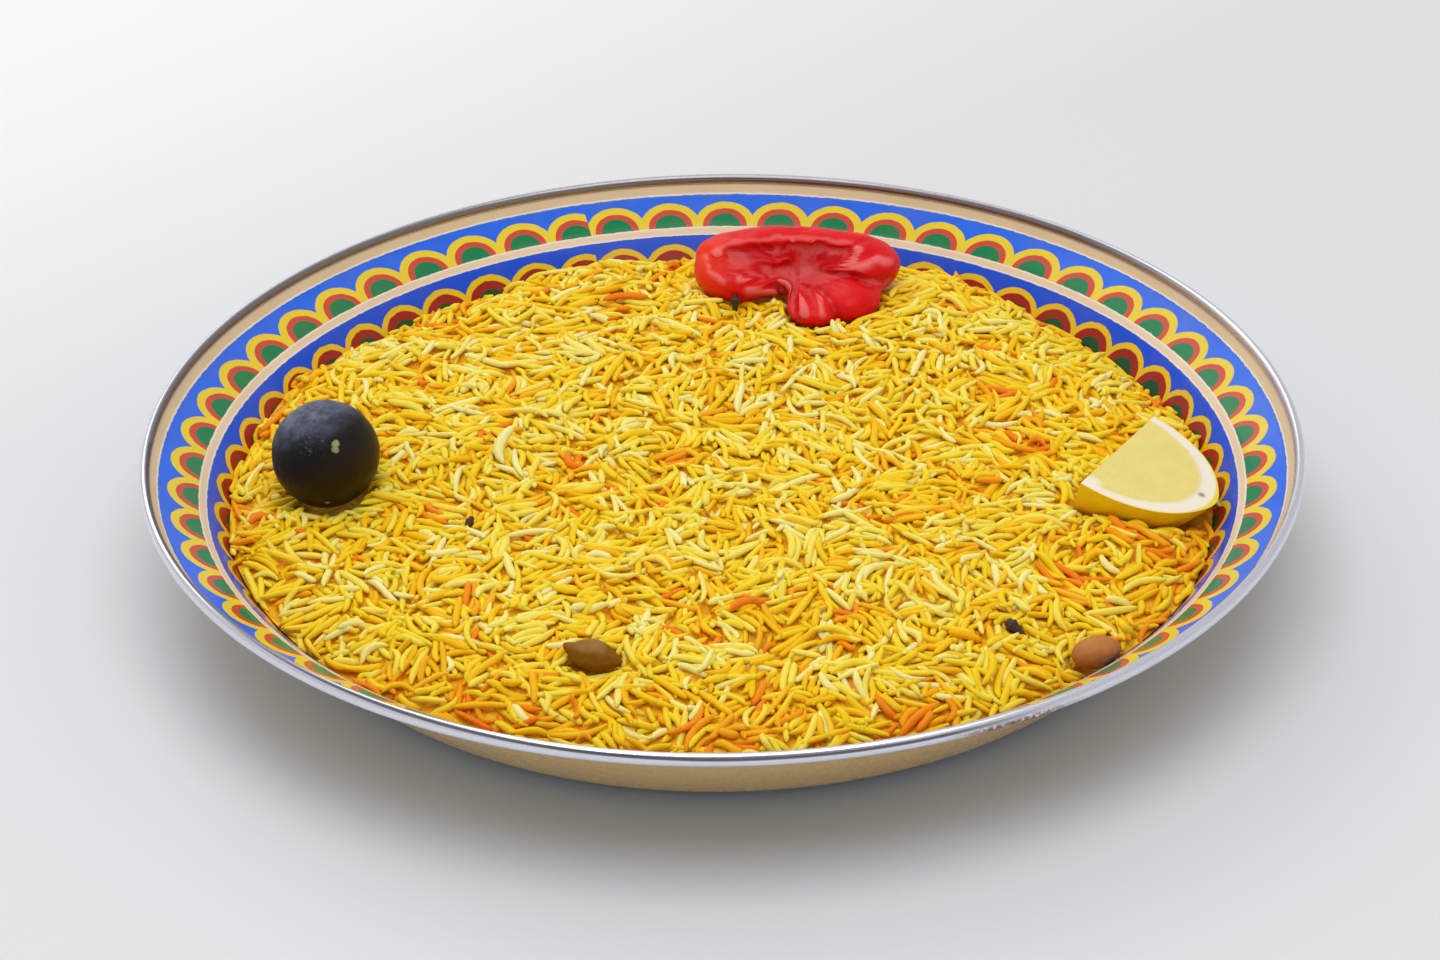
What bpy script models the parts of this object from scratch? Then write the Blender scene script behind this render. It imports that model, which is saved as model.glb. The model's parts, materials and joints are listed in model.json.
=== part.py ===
"""Mandi rice: a shallow enamelled dish with a steel edge, filled with yellow long grain rice.

On the rice lie a black dried lime, a soft red pepper, a lemon wedge, a cardamom pod, an almond
and three cloves. The origin is the middle of the dish's foot, on the surface it stands on.
+X is to the right and +Y away from the viewer. Lengths below are in millimetres.
"""
import math
import random

import bmesh
import bpy
from mathutils import Matrix, Vector
from mathutils.bvhtree import BVHTree
from mathutils.geometry import delaunay_2d_cdt

MM = 0.001
GAP = 0.3

# Dish: half section of its underside, drawn as lines and arcs from the axis outward
DISH_SIDES = 60
FOOT_RADIUS = 122.3
SHEET = 1.2
HEEL_RADIUS = 20.0
WALL_ANGLE = 50.0
WALL_LENGTH = 25.7
SHOULDER_RADIUS = 20.0
FLANGE_ANGLE = 26.0
FLANGE_LENGTH = 9.8
LIP_RADIUS = 4.0
LIP_ANGLE = 47.0

# Steel edge band: a round bead with a slot for the dish's lip
DISH_RADIUS = 175.0
BEAD_RADIUS = 1.6
BEAD_SEGMENTS = 8
LIP_PAST_CENTRE = 0.2

# Rice: the heap's edge on the wall, its rise and its low waves
EDGE_HEIGHT = 23.4
EDGE_SWELLS = [
    # azimuth in degrees, rise, half width in degrees
    (32, -2.4, 14),
    (60, 2.8, 7),
    (98, -1.2, 3),
    (110, 1.1, 6),
    (132, -1.3, 10),
    (156, 1.8, 7),
    (198, 1.6, 18),
    (330, 3.2, 9),
]
EDGE_JITTER = 0.35
EDGE_POINTS_PER_SIDE = 3
SHOULDER_RISE = 6.0
SHOULDER_REACH = 12.0
CROWN_RISE = 2.5
WAVES = [
    # direction in degrees, wavelength, height, phase in degrees
    (20, 92, 0.6, 40),
    (75, 61, 0.5, 130),
    (140, 47, 0.4, 250),
    (110, 118, 0.6, 300),
]

# Grain bumps on the heap
GRAIN_COUNT = 385
GRAIN_TRIES = 40000
GRAIN_LENGTH = (12.0, 16.0)
GRAIN_WIDTH = 3.2
GRAIN_HEIGHT = (1.6, 2.4)
GRAIN_SPACE = 0.9
GRAIN_EDGE_SPACE = 3.6
GRAIN_TOPPING_SPACE = 4.8
GRAIN_EDGES = ((0, 1), (1, 2), (2, 3), (3, 0), (4, 5), (0, 4), (1, 4), (2, 5), (3, 5))

# Toppings: places of their middles
LIME_RADIUS = 16.5
LIME_PLACE = (-118.6, -11.2, 44.3)

LEMON_HALF_WIDTH = 27.5
LEMON_HALF_DEPTH = 29.5
LEMON_HALF_LENGTH = 32.1
LEMON_TIP = 2.0
LEMON_CUT_OFFSET = 6.0
LEMON_END_OFFSET = 0.8
LEMON_FACE_PLACE = (119.5, -11.0, 41.0)
LEMON_AXIS = (0.847, -0.428, -0.318)
LEMON_FACE_NORMAL = (0.312, -0.086, 0.947)

PEPPER_PLACE = (25.5, 113.0, 38.5)
PEPPER_REACH = 60.0
PEPPER_STEP = 0.05
PEPPER_BLEND = 1.5
PEPPER_LOBES = [
    # middle from PEPPER_PLACE, half sizes
    ((-4, 7, 4.8), (27, 9, 6.5)),
    ((-20, 1, -1), (13, 13, 8.5)),
    ((-2, 3, -2.5), (24, 10, 6)),
    ((5, -15.5, -5.5), (9, 10, 4.5)),
    ((20.5, 1, 0.8), (12.5, 11.5, 7.5)),
    ((17, -13.5, -3.5), (9.5, 10.5, 6)),
]
PEPPER_DENT = ((-4, -7, 6), (17, 8, 6), 0.8)

POD_SIZE = (15.5, 11.0, 9.6)
POD_PLACE = (-36.3, -108.3, 33.2)
POD_TURN = (0, 8, -14)

ALMOND_SIZE = (14.6, 10.4, 9.4)
ALMOND_PLACE = (105.4, -102.6, 28.3)
ALMOND_TURN = (0, -6, 12)

CLOVES = [
    # x, y, length, width, lean in degrees, turn in degrees
    (5.0, 99.5, 6.5, 2.4, 75, 80),
    (83.4, -96.0, 9.0, 3.4, 35, 150),
    (-75.8, -36.5, 9.0, 3.0, 30, 60),
]
CLOVE_SINK = 1.2
POCKET_GAP = 0.5

SEED = 11


def make_material(name, colour, roughness, metallic=0.0):
    """A plain surface of one colour."""
    material = bpy.data.materials.new(name)
    material.use_nodes = True
    shader = material.node_tree.nodes["Principled BSDF"]
    shader.inputs["Base Color"].default_value = (*colour, 1.0)
    shader.inputs["Roughness"].default_value = roughness
    shader.inputs["Metallic"].default_value = metallic
    material.diffuse_color = (*colour, 1.0)
    return material


def add_object(name, mesh, collection, material=None):
    """Link a mesh as an object, shaded smooth but for its sharp edges."""
    obj = bpy.data.objects.new(name, mesh)
    collection.objects.link(obj)
    if material is not None:
        mesh.materials.append(material)
    mesh.shade_smooth()
    mesh.set_sharp_from_angle(angle=math.radians(40))
    return obj


def mesh_from(bm, name):
    """Turn a bmesh in millimetres into a mesh in metres."""
    bmesh.ops.scale(bm, vec=(MM, MM, MM), verts=bm.verts)
    mesh = bpy.data.meshes.new(name)
    bm.to_mesh(mesh)
    bm.free()
    return mesh


def turned(name, profile, closed, collection, material):
    """Spin a half section, given as (radius, height), round the Z axis."""
    mesh = bpy.data.meshes.new(name)
    count = len(profile)
    edges = [(i, i + 1) for i in range(count - 1)]
    if closed:
        edges.append((count - 1, 0))
    mesh.from_pydata([(r * MM, 0, z * MM) for r, z in profile], edges, [])
    obj = add_object(name, mesh, collection, material)
    spin = obj.modifiers.new("Spin", "SCREW")
    spin.steps = DISH_SIDES
    spin.render_steps = DISH_SIDES
    spin.use_merge_vertices = True
    spin.merge_threshold = 0.00001
    spin.use_smooth_shade = True
    return obj


def applied(obj):
    """The object with its modifiers made into plain mesh."""
    depsgraph = bpy.context.evaluated_depsgraph_get()
    mesh = bpy.data.meshes.new_from_object(obj.evaluated_get(depsgraph))
    obj.modifiers.clear()
    obj.data = mesh
    return obj


def sheet_path(offset, to_lip=True):
    """Points (radius, height) of the dish's section, offset upward from its underside."""
    x, z, heading = 0.0, 0.0, 0.0
    points = [(0.0, offset)]

    def line(length):
        nonlocal x, z
        x += length * math.cos(heading)
        z += length * math.sin(heading)
        points.append((x - offset * math.sin(heading), z + offset * math.cos(heading)))

    def arc(radius, to_degrees, segments):
        nonlocal x, z, heading
        start, end = heading, math.radians(to_degrees)
        side = 1 if end > start else -1
        cx = x - side * radius * math.sin(start)
        cz = z + side * radius * math.cos(start)
        for i in range(1, segments + 1):
            heading = start + (end - start) * i / segments
            x = cx + side * radius * math.sin(heading)
            z = cz - side * radius * math.cos(heading)
            points.append((x - offset * math.sin(heading), z + offset * math.cos(heading)))

    line(FOOT_RADIUS)
    arc(HEEL_RADIUS, WALL_ANGLE, 4)
    line(WALL_LENGTH)
    if to_lip:
        arc(SHOULDER_RADIUS, FLANGE_ANGLE, 2)
        line(FLANGE_LENGTH)
        arc(LIP_RADIUS, LIP_ANGLE, 1)
        half_sheet = SHEET / 2 * math.sin(heading)
        centre = DISH_RADIUS - BEAD_RADIUS
        line((centre + half_sheet - x) / math.cos(heading) + LIP_PAST_CENTRE)
    return points


def make_dish(collection):
    """The enamelled sheet: inner face outward to the lip, then the underside back to the axis."""
    enamel = make_material("enamel", (0.72, 0.55, 0.33), 0.25)
    inner = sheet_path(SHEET)
    outer = sheet_path(0.0)
    return turned("plate", inner + outer[::-1], False, collection, enamel)


def make_band(collection):
    """The steel bead that wraps the lip, open below toward the inside of the dish."""
    steel = make_material("steel", (0.62, 0.62, 0.66), 0.3, 1.0)
    lip = math.radians(LIP_ANGLE)
    lip_end = Vector(sheet_path(SHEET / 2)[-1])
    along = Vector((math.cos(lip), math.sin(lip)))
    across = Vector((-math.sin(lip), math.cos(lip)))
    centre = lip_end - along * LIP_PAST_CENTRE
    half_slot = SHEET / 2 + GAP
    half_mouth = math.asin(half_slot / BEAD_RADIUS)
    start = lip + math.pi - half_mouth
    end = lip - math.pi + half_mouth
    profile = []
    for i in range(BEAD_SEGMENTS + 1):
        angle = start + (end - start) * i / BEAD_SEGMENTS
        profile.append(centre + BEAD_RADIUS * Vector((math.cos(angle), math.sin(angle))))
    slot_end = centre + along * (LIP_PAST_CENTRE + GAP)
    profile.append(slot_end - across * half_slot)
    profile.append(slot_end + across * half_slot)
    return turned("rim_band", [tuple(p) for p in profile], True, collection, steel)


def angle_between(a, b):
    """Smallest difference of two angles in degrees."""
    return abs((a - b + 180) % 360 - 180)


def edge_height(azimuth):
    """Height at which the heap meets the dish's wall, by azimuth in degrees."""
    height = EDGE_HEIGHT
    for middle, rise, half_width in EDGE_SWELLS:
        height += rise * math.exp(-(angle_between(azimuth, middle) / half_width) ** 2)
    return height


def wall_radius(height, offset):
    """Radius of the dish's straight wall at a height, moved inward by an offset."""
    heel, top = sheet_path(SHEET + offset, to_lip=False)[-2:]
    share = (height - heel[1]) / (top[1] - heel[1])
    return heel[0] + share * (top[0] - heel[0])


def heap_height(x, y):
    """Height of the bare heap at a place."""
    radius = math.hypot(x, y)
    azimuth = math.degrees(math.atan2(y, x)) % 360
    edge = edge_height(azimuth)
    reach = wall_radius(edge, GAP)
    inward = max(0.0, reach - radius)
    middle_share = 1 - math.exp(-inward / (2 * SHOULDER_REACH))
    base = EDGE_HEIGHT + (edge - EDGE_HEIGHT) * (1 - middle_share)
    height = base + SHOULDER_RISE * (1 - math.exp(-inward / SHOULDER_REACH))
    height += CROWN_RISE * (1 - min(1.0, radius / reach) ** 2)
    for direction, wavelength, rise, phase in WAVES:
        turn = math.radians(direction)
        along = x * math.cos(turn) + y * math.sin(turn)
        wave = math.sin(math.tau * along / wavelength + math.radians(phase))
        height += rise * wave * middle_share
    return height


def segment_distance(a, b):
    """Least distance between two grains' ridges, sampled along them."""
    best = math.inf
    for i in range(5):
        p = a[0].lerp(a[1], i / 4)
        for j in range(5):
            best = min(best, (p - b[0].lerp(b[1], j / 4)).length)
    return best


def scatter_grains(rng, toppings):
    """Places of the grain bumps: ridge ends in plan, none touching another or a topping."""
    grains = []
    for _ in range(GRAIN_TRIES):
        if len(grains) == GRAIN_COUNT:
            break
        azimuth = rng.uniform(0, math.tau)
        radius = wall_radius(EDGE_HEIGHT, GAP) * math.sqrt(rng.random())
        turn = rng.uniform(0, math.pi)
        length = rng.uniform(*GRAIN_LENGTH)
        height = rng.uniform(*GRAIN_HEIGHT)
        middle = Vector((radius * math.cos(azimuth), radius * math.sin(azimuth)))
        along = Vector((math.cos(turn), math.sin(turn)))
        ends = (middle - along * length / 2, middle + along * length / 2)
        if any(over_edge(end) for end in ends):
            continue
        if any(near_topping(ends[0].lerp(ends[1], i / 4), toppings) for i in range(5)):
            continue
        near = [g for g in grains if (g[2] - middle).length < 2 * GRAIN_LENGTH[1]]
        if any(segment_distance(ends, g) < GRAIN_WIDTH + GRAIN_SPACE for g in near):
            continue
        grains.append((*ends, middle, height))
    return grains


def over_edge(point):
    """Whether a place is too near the heap's edge for a grain's end."""
    azimuth = math.degrees(math.atan2(point.y, point.x)) % 360
    reach = wall_radius(edge_height(azimuth), GAP)
    return point.length > reach - GRAIN_EDGE_SPACE


def near_topping(point, toppings):
    """Whether a topping lies over a place or close beside it, low over the heap."""
    top = heap_height(point.x, point.y)
    place = Vector((point.x, point.y, top)) * MM
    return any(tree.find_nearest(place, GRAIN_TOPPING_SPACE * MM)[0] is not None for tree in toppings)


def heap_border(corners, rng):
    """Points of the heap's edge, on the flats of the dish's wall."""
    border = []
    step = 360 / DISH_SIDES
    for k in range(DISH_SIDES):
        for i in range(EDGE_POINTS_PER_SIDE):
            share = i / EDGE_POINTS_PER_SIDE
            height = edge_height((k + share) * step) + rng.uniform(-EDGE_JITTER, EDGE_JITTER)
            place = corners[k].lerp(corners[(k + 1) % DISH_SIDES], share) * wall_radius(height, GAP)
            border.append(Vector((*place, height)))
    return border


def grain_points(start, end, rise):
    """A grain's four corners on the heap and the two ends of its ridge."""
    along = (end - start).normalized() * GRAIN_WIDTH / 2
    across = Vector((-along.y, along.x))
    points = []
    for corner in (start + across, start - across, end - across, end + across):
        points.append(Vector((*corner, heap_height(*corner))))
    for ridge in (start + along, end - along):
        points.append(Vector((*ridge, heap_height(*ridge) + rise)))
    return points


def add_heap_top(bm, border, grains):
    """Triangles over the whole heap, through its edge and every grain's corners and ridge."""
    count = len(border)
    points = list(border)
    edges = [(i, (i + 1) % count) for i in range(count)]
    for start, end, _, rise in grains:
        first = len(points)
        points += grain_points(start, end, rise)
        edges += [(first + a, first + b) for a, b in GRAIN_EDGES]
    flat = [Vector((p.x, p.y)) for p in points]
    inside_border = 1
    outline = [list(range(count))]
    places, _, faces, origins, _, _ = delaunay_2d_cdt(flat, edges, outline, inside_border, 1e-5)
    verts = []
    for place, origin in zip(places, origins):
        height = points[origin[0]].z if origin else heap_height(*place)
        verts.append(bm.verts.new((*place, height)))
    for face in faces:
        bm.faces.new([verts[i] for i in face])
    return verts[:count]


def make_rice(collection, cutters, toppings, rng):
    """The heap: a bottom that follows the dish, an uneven edge, and grain bumps on top."""
    rice = make_material("rice", (0.85, 0.55, 0.06), 0.5)
    bm = bmesh.new()
    turns = [math.tau * k / DISH_SIDES for k in range(DISH_SIDES)]
    corners = [Vector((math.cos(turn), math.sin(turn))) for turn in turns]
    rings = []
    for radius, height in sheet_path(SHEET + GAP, to_lip=False)[1:-1]:
        rings.append([bm.verts.new((*(corner * radius), height)) for corner in corners])
    bm.faces.new(rings[0])
    for low, high in zip(rings, rings[1:]):
        for k in range(DISH_SIDES):
            n = (k + 1) % DISH_SIDES
            bm.faces.new((low[k], low[n], high[n], high[k]))

    grains = scatter_grains(rng, toppings)
    rim = add_heap_top(bm, heap_border(corners, rng), grains)
    for k in range(DISH_SIDES):
        last = (k + 1) * EDGE_POINTS_PER_SIDE
        top = [rim[(last - i) % len(rim)] for i in range(EDGE_POINTS_PER_SIDE + 1)]
        bm.faces.new([rings[-1][k], rings[-1][(k + 1) % DISH_SIDES], *top])
    bmesh.ops.recalc_face_normals(bm, faces=bm.faces)
    obj = add_object("rice", mesh_from(bm, "rice"), collection, rice)

    join_cloves(obj)
    for cutter in cutters.objects:
        pocket = obj.modifiers.new(cutter.name, "BOOLEAN")
        pocket.operation = "DIFFERENCE"
        pocket.object = cutter
    return obj


def join_cloves(rice):
    """Fuse the cloves, small tapered buds, to the heap in one union."""
    buds = bpy.data.collections.new("cloves")
    bpy.context.scene.collection.children.link(buds)
    for x, y, length, width, lean, turn in CLOVES:
        bm = bmesh.new()
        bmesh.ops.create_cone(
            bm, cap_ends=True, segments=6, radius1=width * 0.3, radius2=width * 0.5, depth=length
        )
        place = Matrix.Translation((x, y, heap_height(x, y) + length / 2 * math.sin(math.radians(lean))))
        sink = Matrix.Translation((0, 0, -CLOVE_SINK))
        aim = Matrix.Rotation(math.radians(turn), 4, "Z") @ Matrix.Rotation(math.radians(90 - lean), 4, "Y")
        bmesh.ops.transform(bm, matrix=sink @ place @ aim, verts=bm.verts)
        add_object("clove", mesh_from(bm, "clove"), buds)
    union = rice.modifiers.new("Cloves", "BOOLEAN")
    union.operation = "UNION"
    union.operand_type = "COLLECTION"
    union.collection = buds
    applied(rice)
    for bud in list(buds.objects):
        bpy.data.objects.remove(bud)
    bpy.data.collections.remove(buds)


def make_lime(collection):
    """The dried lime: a ball."""
    skin = make_material("lime_skin", (0.02, 0.018, 0.012), 0.35)
    bm = bmesh.new()
    bmesh.ops.create_uvsphere(bm, u_segments=24, v_segments=14, radius=LIME_RADIUS)
    bmesh.ops.translate(bm, vec=LIME_PLACE, verts=bm.verts)
    return add_object("black_lime", mesh_from(bm, "black_lime"), collection, skin)


def make_lemon(collection):
    """The wedge: a lemon cut across its middle and again lengthwise, a little off its axis."""
    rind = make_material("lemon_rind", (0.85, 0.6, 0.05), 0.4)
    axis = Vector(LEMON_AXIS).normalized()
    normal = Vector(LEMON_FACE_NORMAL).normalized()
    side = normal.cross(axis)
    face = Vector(LEMON_FACE_PLACE)
    middle = face + normal * LEMON_CUT_OFFSET
    bm = bmesh.new()
    bmesh.ops.create_uvsphere(bm, u_segments=32, v_segments=22, radius=1.0)
    for vert in bm.verts:
        x, y, z = vert.co
        length = z * LEMON_HALF_LENGTH + LEMON_TIP * max(0.0, z) ** 24
        vert.co = middle + axis * length + side * x * LEMON_HALF_WIDTH + normal * y * LEMON_HALF_DEPTH
    for point, direction in ((face, normal), (face + axis * LEMON_END_OFFSET, -axis)):
        cut = bmesh.ops.bisect_plane(
            bm,
            geom=bm.verts[:] + bm.edges[:] + bm.faces[:],
            plane_co=point,
            plane_no=direction,
            clear_outer=True,
        )
        rim = [e for e in cut["geom_cut"] if isinstance(e, bmesh.types.BMEdge)]
        bmesh.ops.holes_fill(bm, edges=rim)
    bmesh.ops.recalc_face_normals(bm, faces=bm.faces)
    return add_object("lemon_wedge", mesh_from(bm, "lemon_wedge"), collection, rind)


def lobe_level(point, middle, half):
    """1 on the surface of an ellipsoid, less inside it and more outside."""
    return math.sqrt(sum(((point[i] - middle[i]) / half[i]) ** 2 for i in range(3)))


def pepper_field(point):
    """Less than zero inside the pepper: its lobes, run softly into each other."""
    total = 0.0
    for middle, half in PEPPER_LOBES:
        total += math.exp((1 - lobe_level(point, middle, half)) * min(half) / PEPPER_BLEND)
    middle, half, depth = PEPPER_DENT
    dent = depth * math.exp(-lobe_level(point, middle, half) ** 2)
    return 1 - total * (1 - dent)


def make_pepper(collection):
    """The soft pepper: a ball drawn out along each ray to the surface of the lobes."""
    skin = make_material("pepper_skin", (0.55, 0.01, 0.015), 0.3)
    place = Vector(PEPPER_PLACE)
    bm = bmesh.new()
    bmesh.ops.create_icosphere(bm, subdivisions=4, radius=1.0)
    for vert in bm.verts:
        ray = vert.co.normalized()
        reach = PEPPER_REACH
        while pepper_field(ray * reach) > 0:
            reach -= PEPPER_STEP
        vert.co = ray * reach + place
    return add_object("red_pepper", mesh_from(bm, "red_pepper"), collection, skin)


def make_bean(name, size, place, turn, point, material, collection):
    """An egg shaped piece along its own X axis, more or less pointed at its +X end."""
    bm = bmesh.new()
    bmesh.ops.create_uvsphere(bm, u_segments=12, v_segments=10, radius=1.0)
    bmesh.ops.rotate(bm, matrix=Matrix.Rotation(math.radians(90), 3, "Y"), verts=bm.verts)
    for vert in bm.verts:
        x, y, z = vert.co
        narrowing = 1 - point * (x + 1) / 2
        vert.co = Vector((x * size[0] / 2, y * size[1] / 2 * narrowing, z * size[2] / 2 * narrowing))
    turns = [Matrix.Rotation(math.radians(turn[i]), 3, "XYZ"[i]) for i in range(3)]
    bmesh.ops.rotate(bm, matrix=turns[2] @ turns[1] @ turns[0], verts=bm.verts)
    bmesh.ops.translate(bm, vec=place, verts=bm.verts)
    return add_object(name, mesh_from(bm, name), collection, material)


def make_pocket(topping, cutters):
    """A copy of a topping, grown a little, that cuts its place in the heap."""
    bm = bmesh.new()
    bm.from_mesh(topping.data)
    bm.normal_update()
    moves = [vert.normal * POCKET_GAP * MM for vert in bm.verts]
    for vert, move in zip(bm.verts, moves):
        vert.co += move
    mesh = bpy.data.meshes.new(topping.name + "_pocket")
    bm.to_mesh(mesh)
    bm.free()
    pocket = add_object(mesh.name, mesh, cutters)
    pocket.hide_render = True
    pocket.display_type = "WIRE"


def main():
    """Build the dish, its toppings and the rice that carries them."""
    for obj in list(bpy.data.objects):
        bpy.data.objects.remove(obj, do_unlink=True)
    scene = bpy.context.scene
    parts = bpy.data.collections.new("mandi_rice")
    cutters = bpy.data.collections.new("cutters")
    scene.collection.children.link(parts)
    scene.collection.children.link(cutters)

    make_dish(parts)
    make_band(parts)
    husk = make_material("husk", (0.2, 0.11, 0.02), 0.6)
    nut = make_material("nut", (0.42, 0.16, 0.06), 0.4)
    toppings = [
        make_lime(parts),
        make_pepper(parts),
        make_lemon(parts),
        make_bean("cardamom_pod", POD_SIZE, POD_PLACE, POD_TURN, 0.35, husk, parts),
        make_bean("almond", ALMOND_SIZE, ALMOND_PLACE, ALMOND_TURN, 0.15, nut, parts),
    ]
    for topping in toppings:
        make_pocket(topping, cutters)
    depsgraph = bpy.context.evaluated_depsgraph_get()
    trees = [BVHTree.FromObject(topping, depsgraph) for topping in toppings]
    make_rice(parts, cutters, trees, random.Random(SEED))


main()
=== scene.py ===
"""Mandi rice on its enamelled dish: separate grains, toppings, printed enamel and a steel edge.

Lengths are in millimetres unless a name says metres, and each mesh is made metres at the end.
"""

import json
import math
from functools import partialmethod

import bmesh
import bpy
import numpy as np
from mathutils import Matrix, Vector, noise
from mathutils.bvhtree import BVHTree

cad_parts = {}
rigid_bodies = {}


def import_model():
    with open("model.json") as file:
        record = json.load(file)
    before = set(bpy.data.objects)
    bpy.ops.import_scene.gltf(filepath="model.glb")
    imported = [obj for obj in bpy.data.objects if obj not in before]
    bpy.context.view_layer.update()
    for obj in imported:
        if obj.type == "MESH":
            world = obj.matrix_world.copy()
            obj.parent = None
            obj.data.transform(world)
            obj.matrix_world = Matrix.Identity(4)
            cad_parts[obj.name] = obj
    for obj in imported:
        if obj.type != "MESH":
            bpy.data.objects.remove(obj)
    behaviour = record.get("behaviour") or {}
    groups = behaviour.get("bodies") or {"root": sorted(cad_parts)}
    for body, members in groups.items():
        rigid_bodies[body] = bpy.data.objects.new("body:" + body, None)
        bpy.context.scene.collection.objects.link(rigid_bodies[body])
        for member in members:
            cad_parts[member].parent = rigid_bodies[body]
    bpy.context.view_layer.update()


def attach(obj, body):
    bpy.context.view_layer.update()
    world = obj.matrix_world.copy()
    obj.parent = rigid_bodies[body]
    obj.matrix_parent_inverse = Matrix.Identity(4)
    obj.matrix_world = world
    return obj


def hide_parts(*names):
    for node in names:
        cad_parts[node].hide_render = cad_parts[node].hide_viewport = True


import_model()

MM = 0.001
GAP = 0.3

# Dish: half section of its underside, drawn as lines and arcs from the axis outward
DISH_STEPS = 240
FOOT_RADIUS = 122.3
SHEET = 1.2
HEEL_RADIUS = 20.0
WALL_ANGLE = 50.0
WALL_LENGTH = 25.7
SHOULDER_RADIUS = 20.0
FLANGE_ANGLE = 26.0
FLANGE_LENGTH = 9.8
LIP_RADIUS = 4.0
LIP_ANGLE = 47.0
DISH_RADIUS = 175.0
BEAD_RADIUS = 1.6
BEAD_SIDES = 28
BEAD_TALLNESS = 1.3
BEAD_LIFT = 0.15
LIP_PAST_CENTRE = 0.2
RUST_PLACE = (78.5, -154.0, 38.0)

# Printed border: radii of its rings, and the two rows of scallops
TAN_RING = 169.6
UPPER_BASE = 157.9
RING_WIDTH = 2.4
LOWER_BASE = 147.1
SCALLOP_PITCH = 6.519
SEAM_AZIMUTH = 105.5
SEAM_AFTER = 1.73
SEAM_BEFORE = 3.24
FRONT_START = 104.5
FRONT_PITCH = 6.787
UPPER_SCALLOPS = [
    (10.0, (0.8, 0.6, 0.035)),
    (7.3, (0.62, 0.07, 0.045)),
    (5.2, (0.01, 0.21, 0.075)),
]
# the lower row's pigments are darker than the upper row's: painted shade on the lower wall
LOWER_SCALLOPS = [
    (9.9, (0.8, 0.52, 0.01)),
    (7.9, (0.34, 0.02, 0.012)),
    (5.0, (0.012, 0.085, 0.025)),
]

# Rice heap: the height where it meets the wall, its rise and its low waves
EDGE_HEIGHT = 23.4
EDGE_SWELLS = [
    # azimuth in degrees, rise, half width in degrees
    (32, -2.4, 14),
    (60, 2.8, 7),
    (98, -1.2, 3),
    (110, 1.1, 6),
    (132, -1.3, 10),
    (156, 1.8, 7),
    (198, 1.6, 18),
    (330, 3.2, 9),
]
SHOULDER_RISE = 6.0
SHOULDER_REACH = 12.0
CROWN_RISE = 2.5
WAVES = [
    # direction in degrees, wavelength, height, phase in degrees
    (20, 92, 0.6, 40),
    (75, 61, 0.5, 130),
    (140, 47, 0.4, 250),
    (110, 118, 0.6, 300),
]
CORE_DROP = 3.2
CORE_TURNS = 300
CORE_RINGS = 110
CORE_SHARES = (0.985, 0.02)
CORE_EDGE_DROP = 1.2
CORE_LEAST = 3.0
FILL_CELLS = 4
FILL_DROP = 2.0

# Grains
CELL = 0.5
GRAIN_SEED = 23
GRAIN_TRIES = 34000
LONG_TRIES = 15000
YAW_CHOICES = 4
GRAIN_GIVE = 0.3
FILLER_GIVE = 0.8
LEAST_ROOM = 0.7
GRAIN_LENGTH = (12.0, 17.5)
GRAIN_WIDTH = (1.9, 2.8)
GRAIN_SINK = 0.55
GRAIN_LIMIT = 1.6
TRIES_A_LOOK = 400
FEWEST_CELLS = 50
SHORT_CHANCE = 0.1
SHORT_SHARES = (0.45, 0.8)
LEAN_SPREAD = 0.07
LOOSE_SPREAD = 0.32
LOOSE_CHANCE = 0.14
OVER_EDGE_CHANCE = 0.25
OVER_EDGE_REACH = 2.5
STEEPEST = 0.75
LEAN_LIFT = 0.2
LIMIT_SLACK = 2
MOST_UNDER = 8
TOPPING_ROOM = 0.9
CLUMPS = [
    # size across, rise
    (26, 1.5),
    (11, 1.1),
]
DEEP_TONE_AND_SHADOW_PATCHES = [
    # middle, reach of the patches where the grains are deeper in colour; those under the lime and in
    # front of the lemon are painted shadow
    (-72, -73, 7), (-38, -103, 8), (12, -90, 11), (42, -89, 10),
    (-11, -99, 6), (-69, -123, 14), (7, -140, 12), (58, -132, 8),
    (91, 9, 13), (121, 20, 10), (-10, 3, 8), (-29, -17, 7),
    (-32, 103, 6), (-118, -13, 9), (119, -48, 9), (133, -45, 10),
    (90, 41, 11), (105, -66, 12), (50, -27, 11), (-87, -26, 10), (75, -14, 8),
]
EDGE_PATCH = 9
EDGE_DIP = 2.4
# How deep a grain's colour is: its chance, its depth, clouds, patches (some of them painted shadow) and
# the heap's edge
CHANCE_SHARE = 0.74
DEPTH_SHARE = 0.06
DEPTH_START = 1.5
CLOUD_RISE = 0.1
LEAST_DEEPNESS = 0.055
PATCH_RISE = 0.32
EDGE_RISE = 0.16
PLACED_GRAINS = [
    # x, y, lift, yaw and slope in degrees, length, width, how deep its colour is
    (38.0, 81.0, 4.0, 145, 47, 11.0, 2.7, 0.0),
    (-66.0, 4.0, 2.6, 78, 25, 14.0, 3.6, 0.0),
    (-30.5, 105.0, 0.8, 8, 0, 15.0, 2.8, 0.97),
    (-138.0, -26.0, 0.4, 30, 0, 7.0, 3.4, 0.999),
    (-45.5, 1.0, 0.6, 120, 5, 9.0, 3.0, 0.999),
    (-43.0, 3.5, 0.3, 100, 0, 8.0, 2.8, 0.97),
    (6.0, -85.0, 0.5, 20, 4, 10.0, 3.0, 0.999),
    (9.0, -83.0, 0.3, 165, 0, 9.0, 2.8, 0.96),
]
PLACED_SHAPE = 2
BENDS = [
    # bow, snake
    (0.03, 0.06), (0.08, 0.0), (0.13, 0.05), (0.19, 0.0),
    (0.06, 0.13), (0.26, 0.04), (0.1, -0.1), (0.02, 0.0),
]
BEND_RATIO = 5.7
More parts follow.
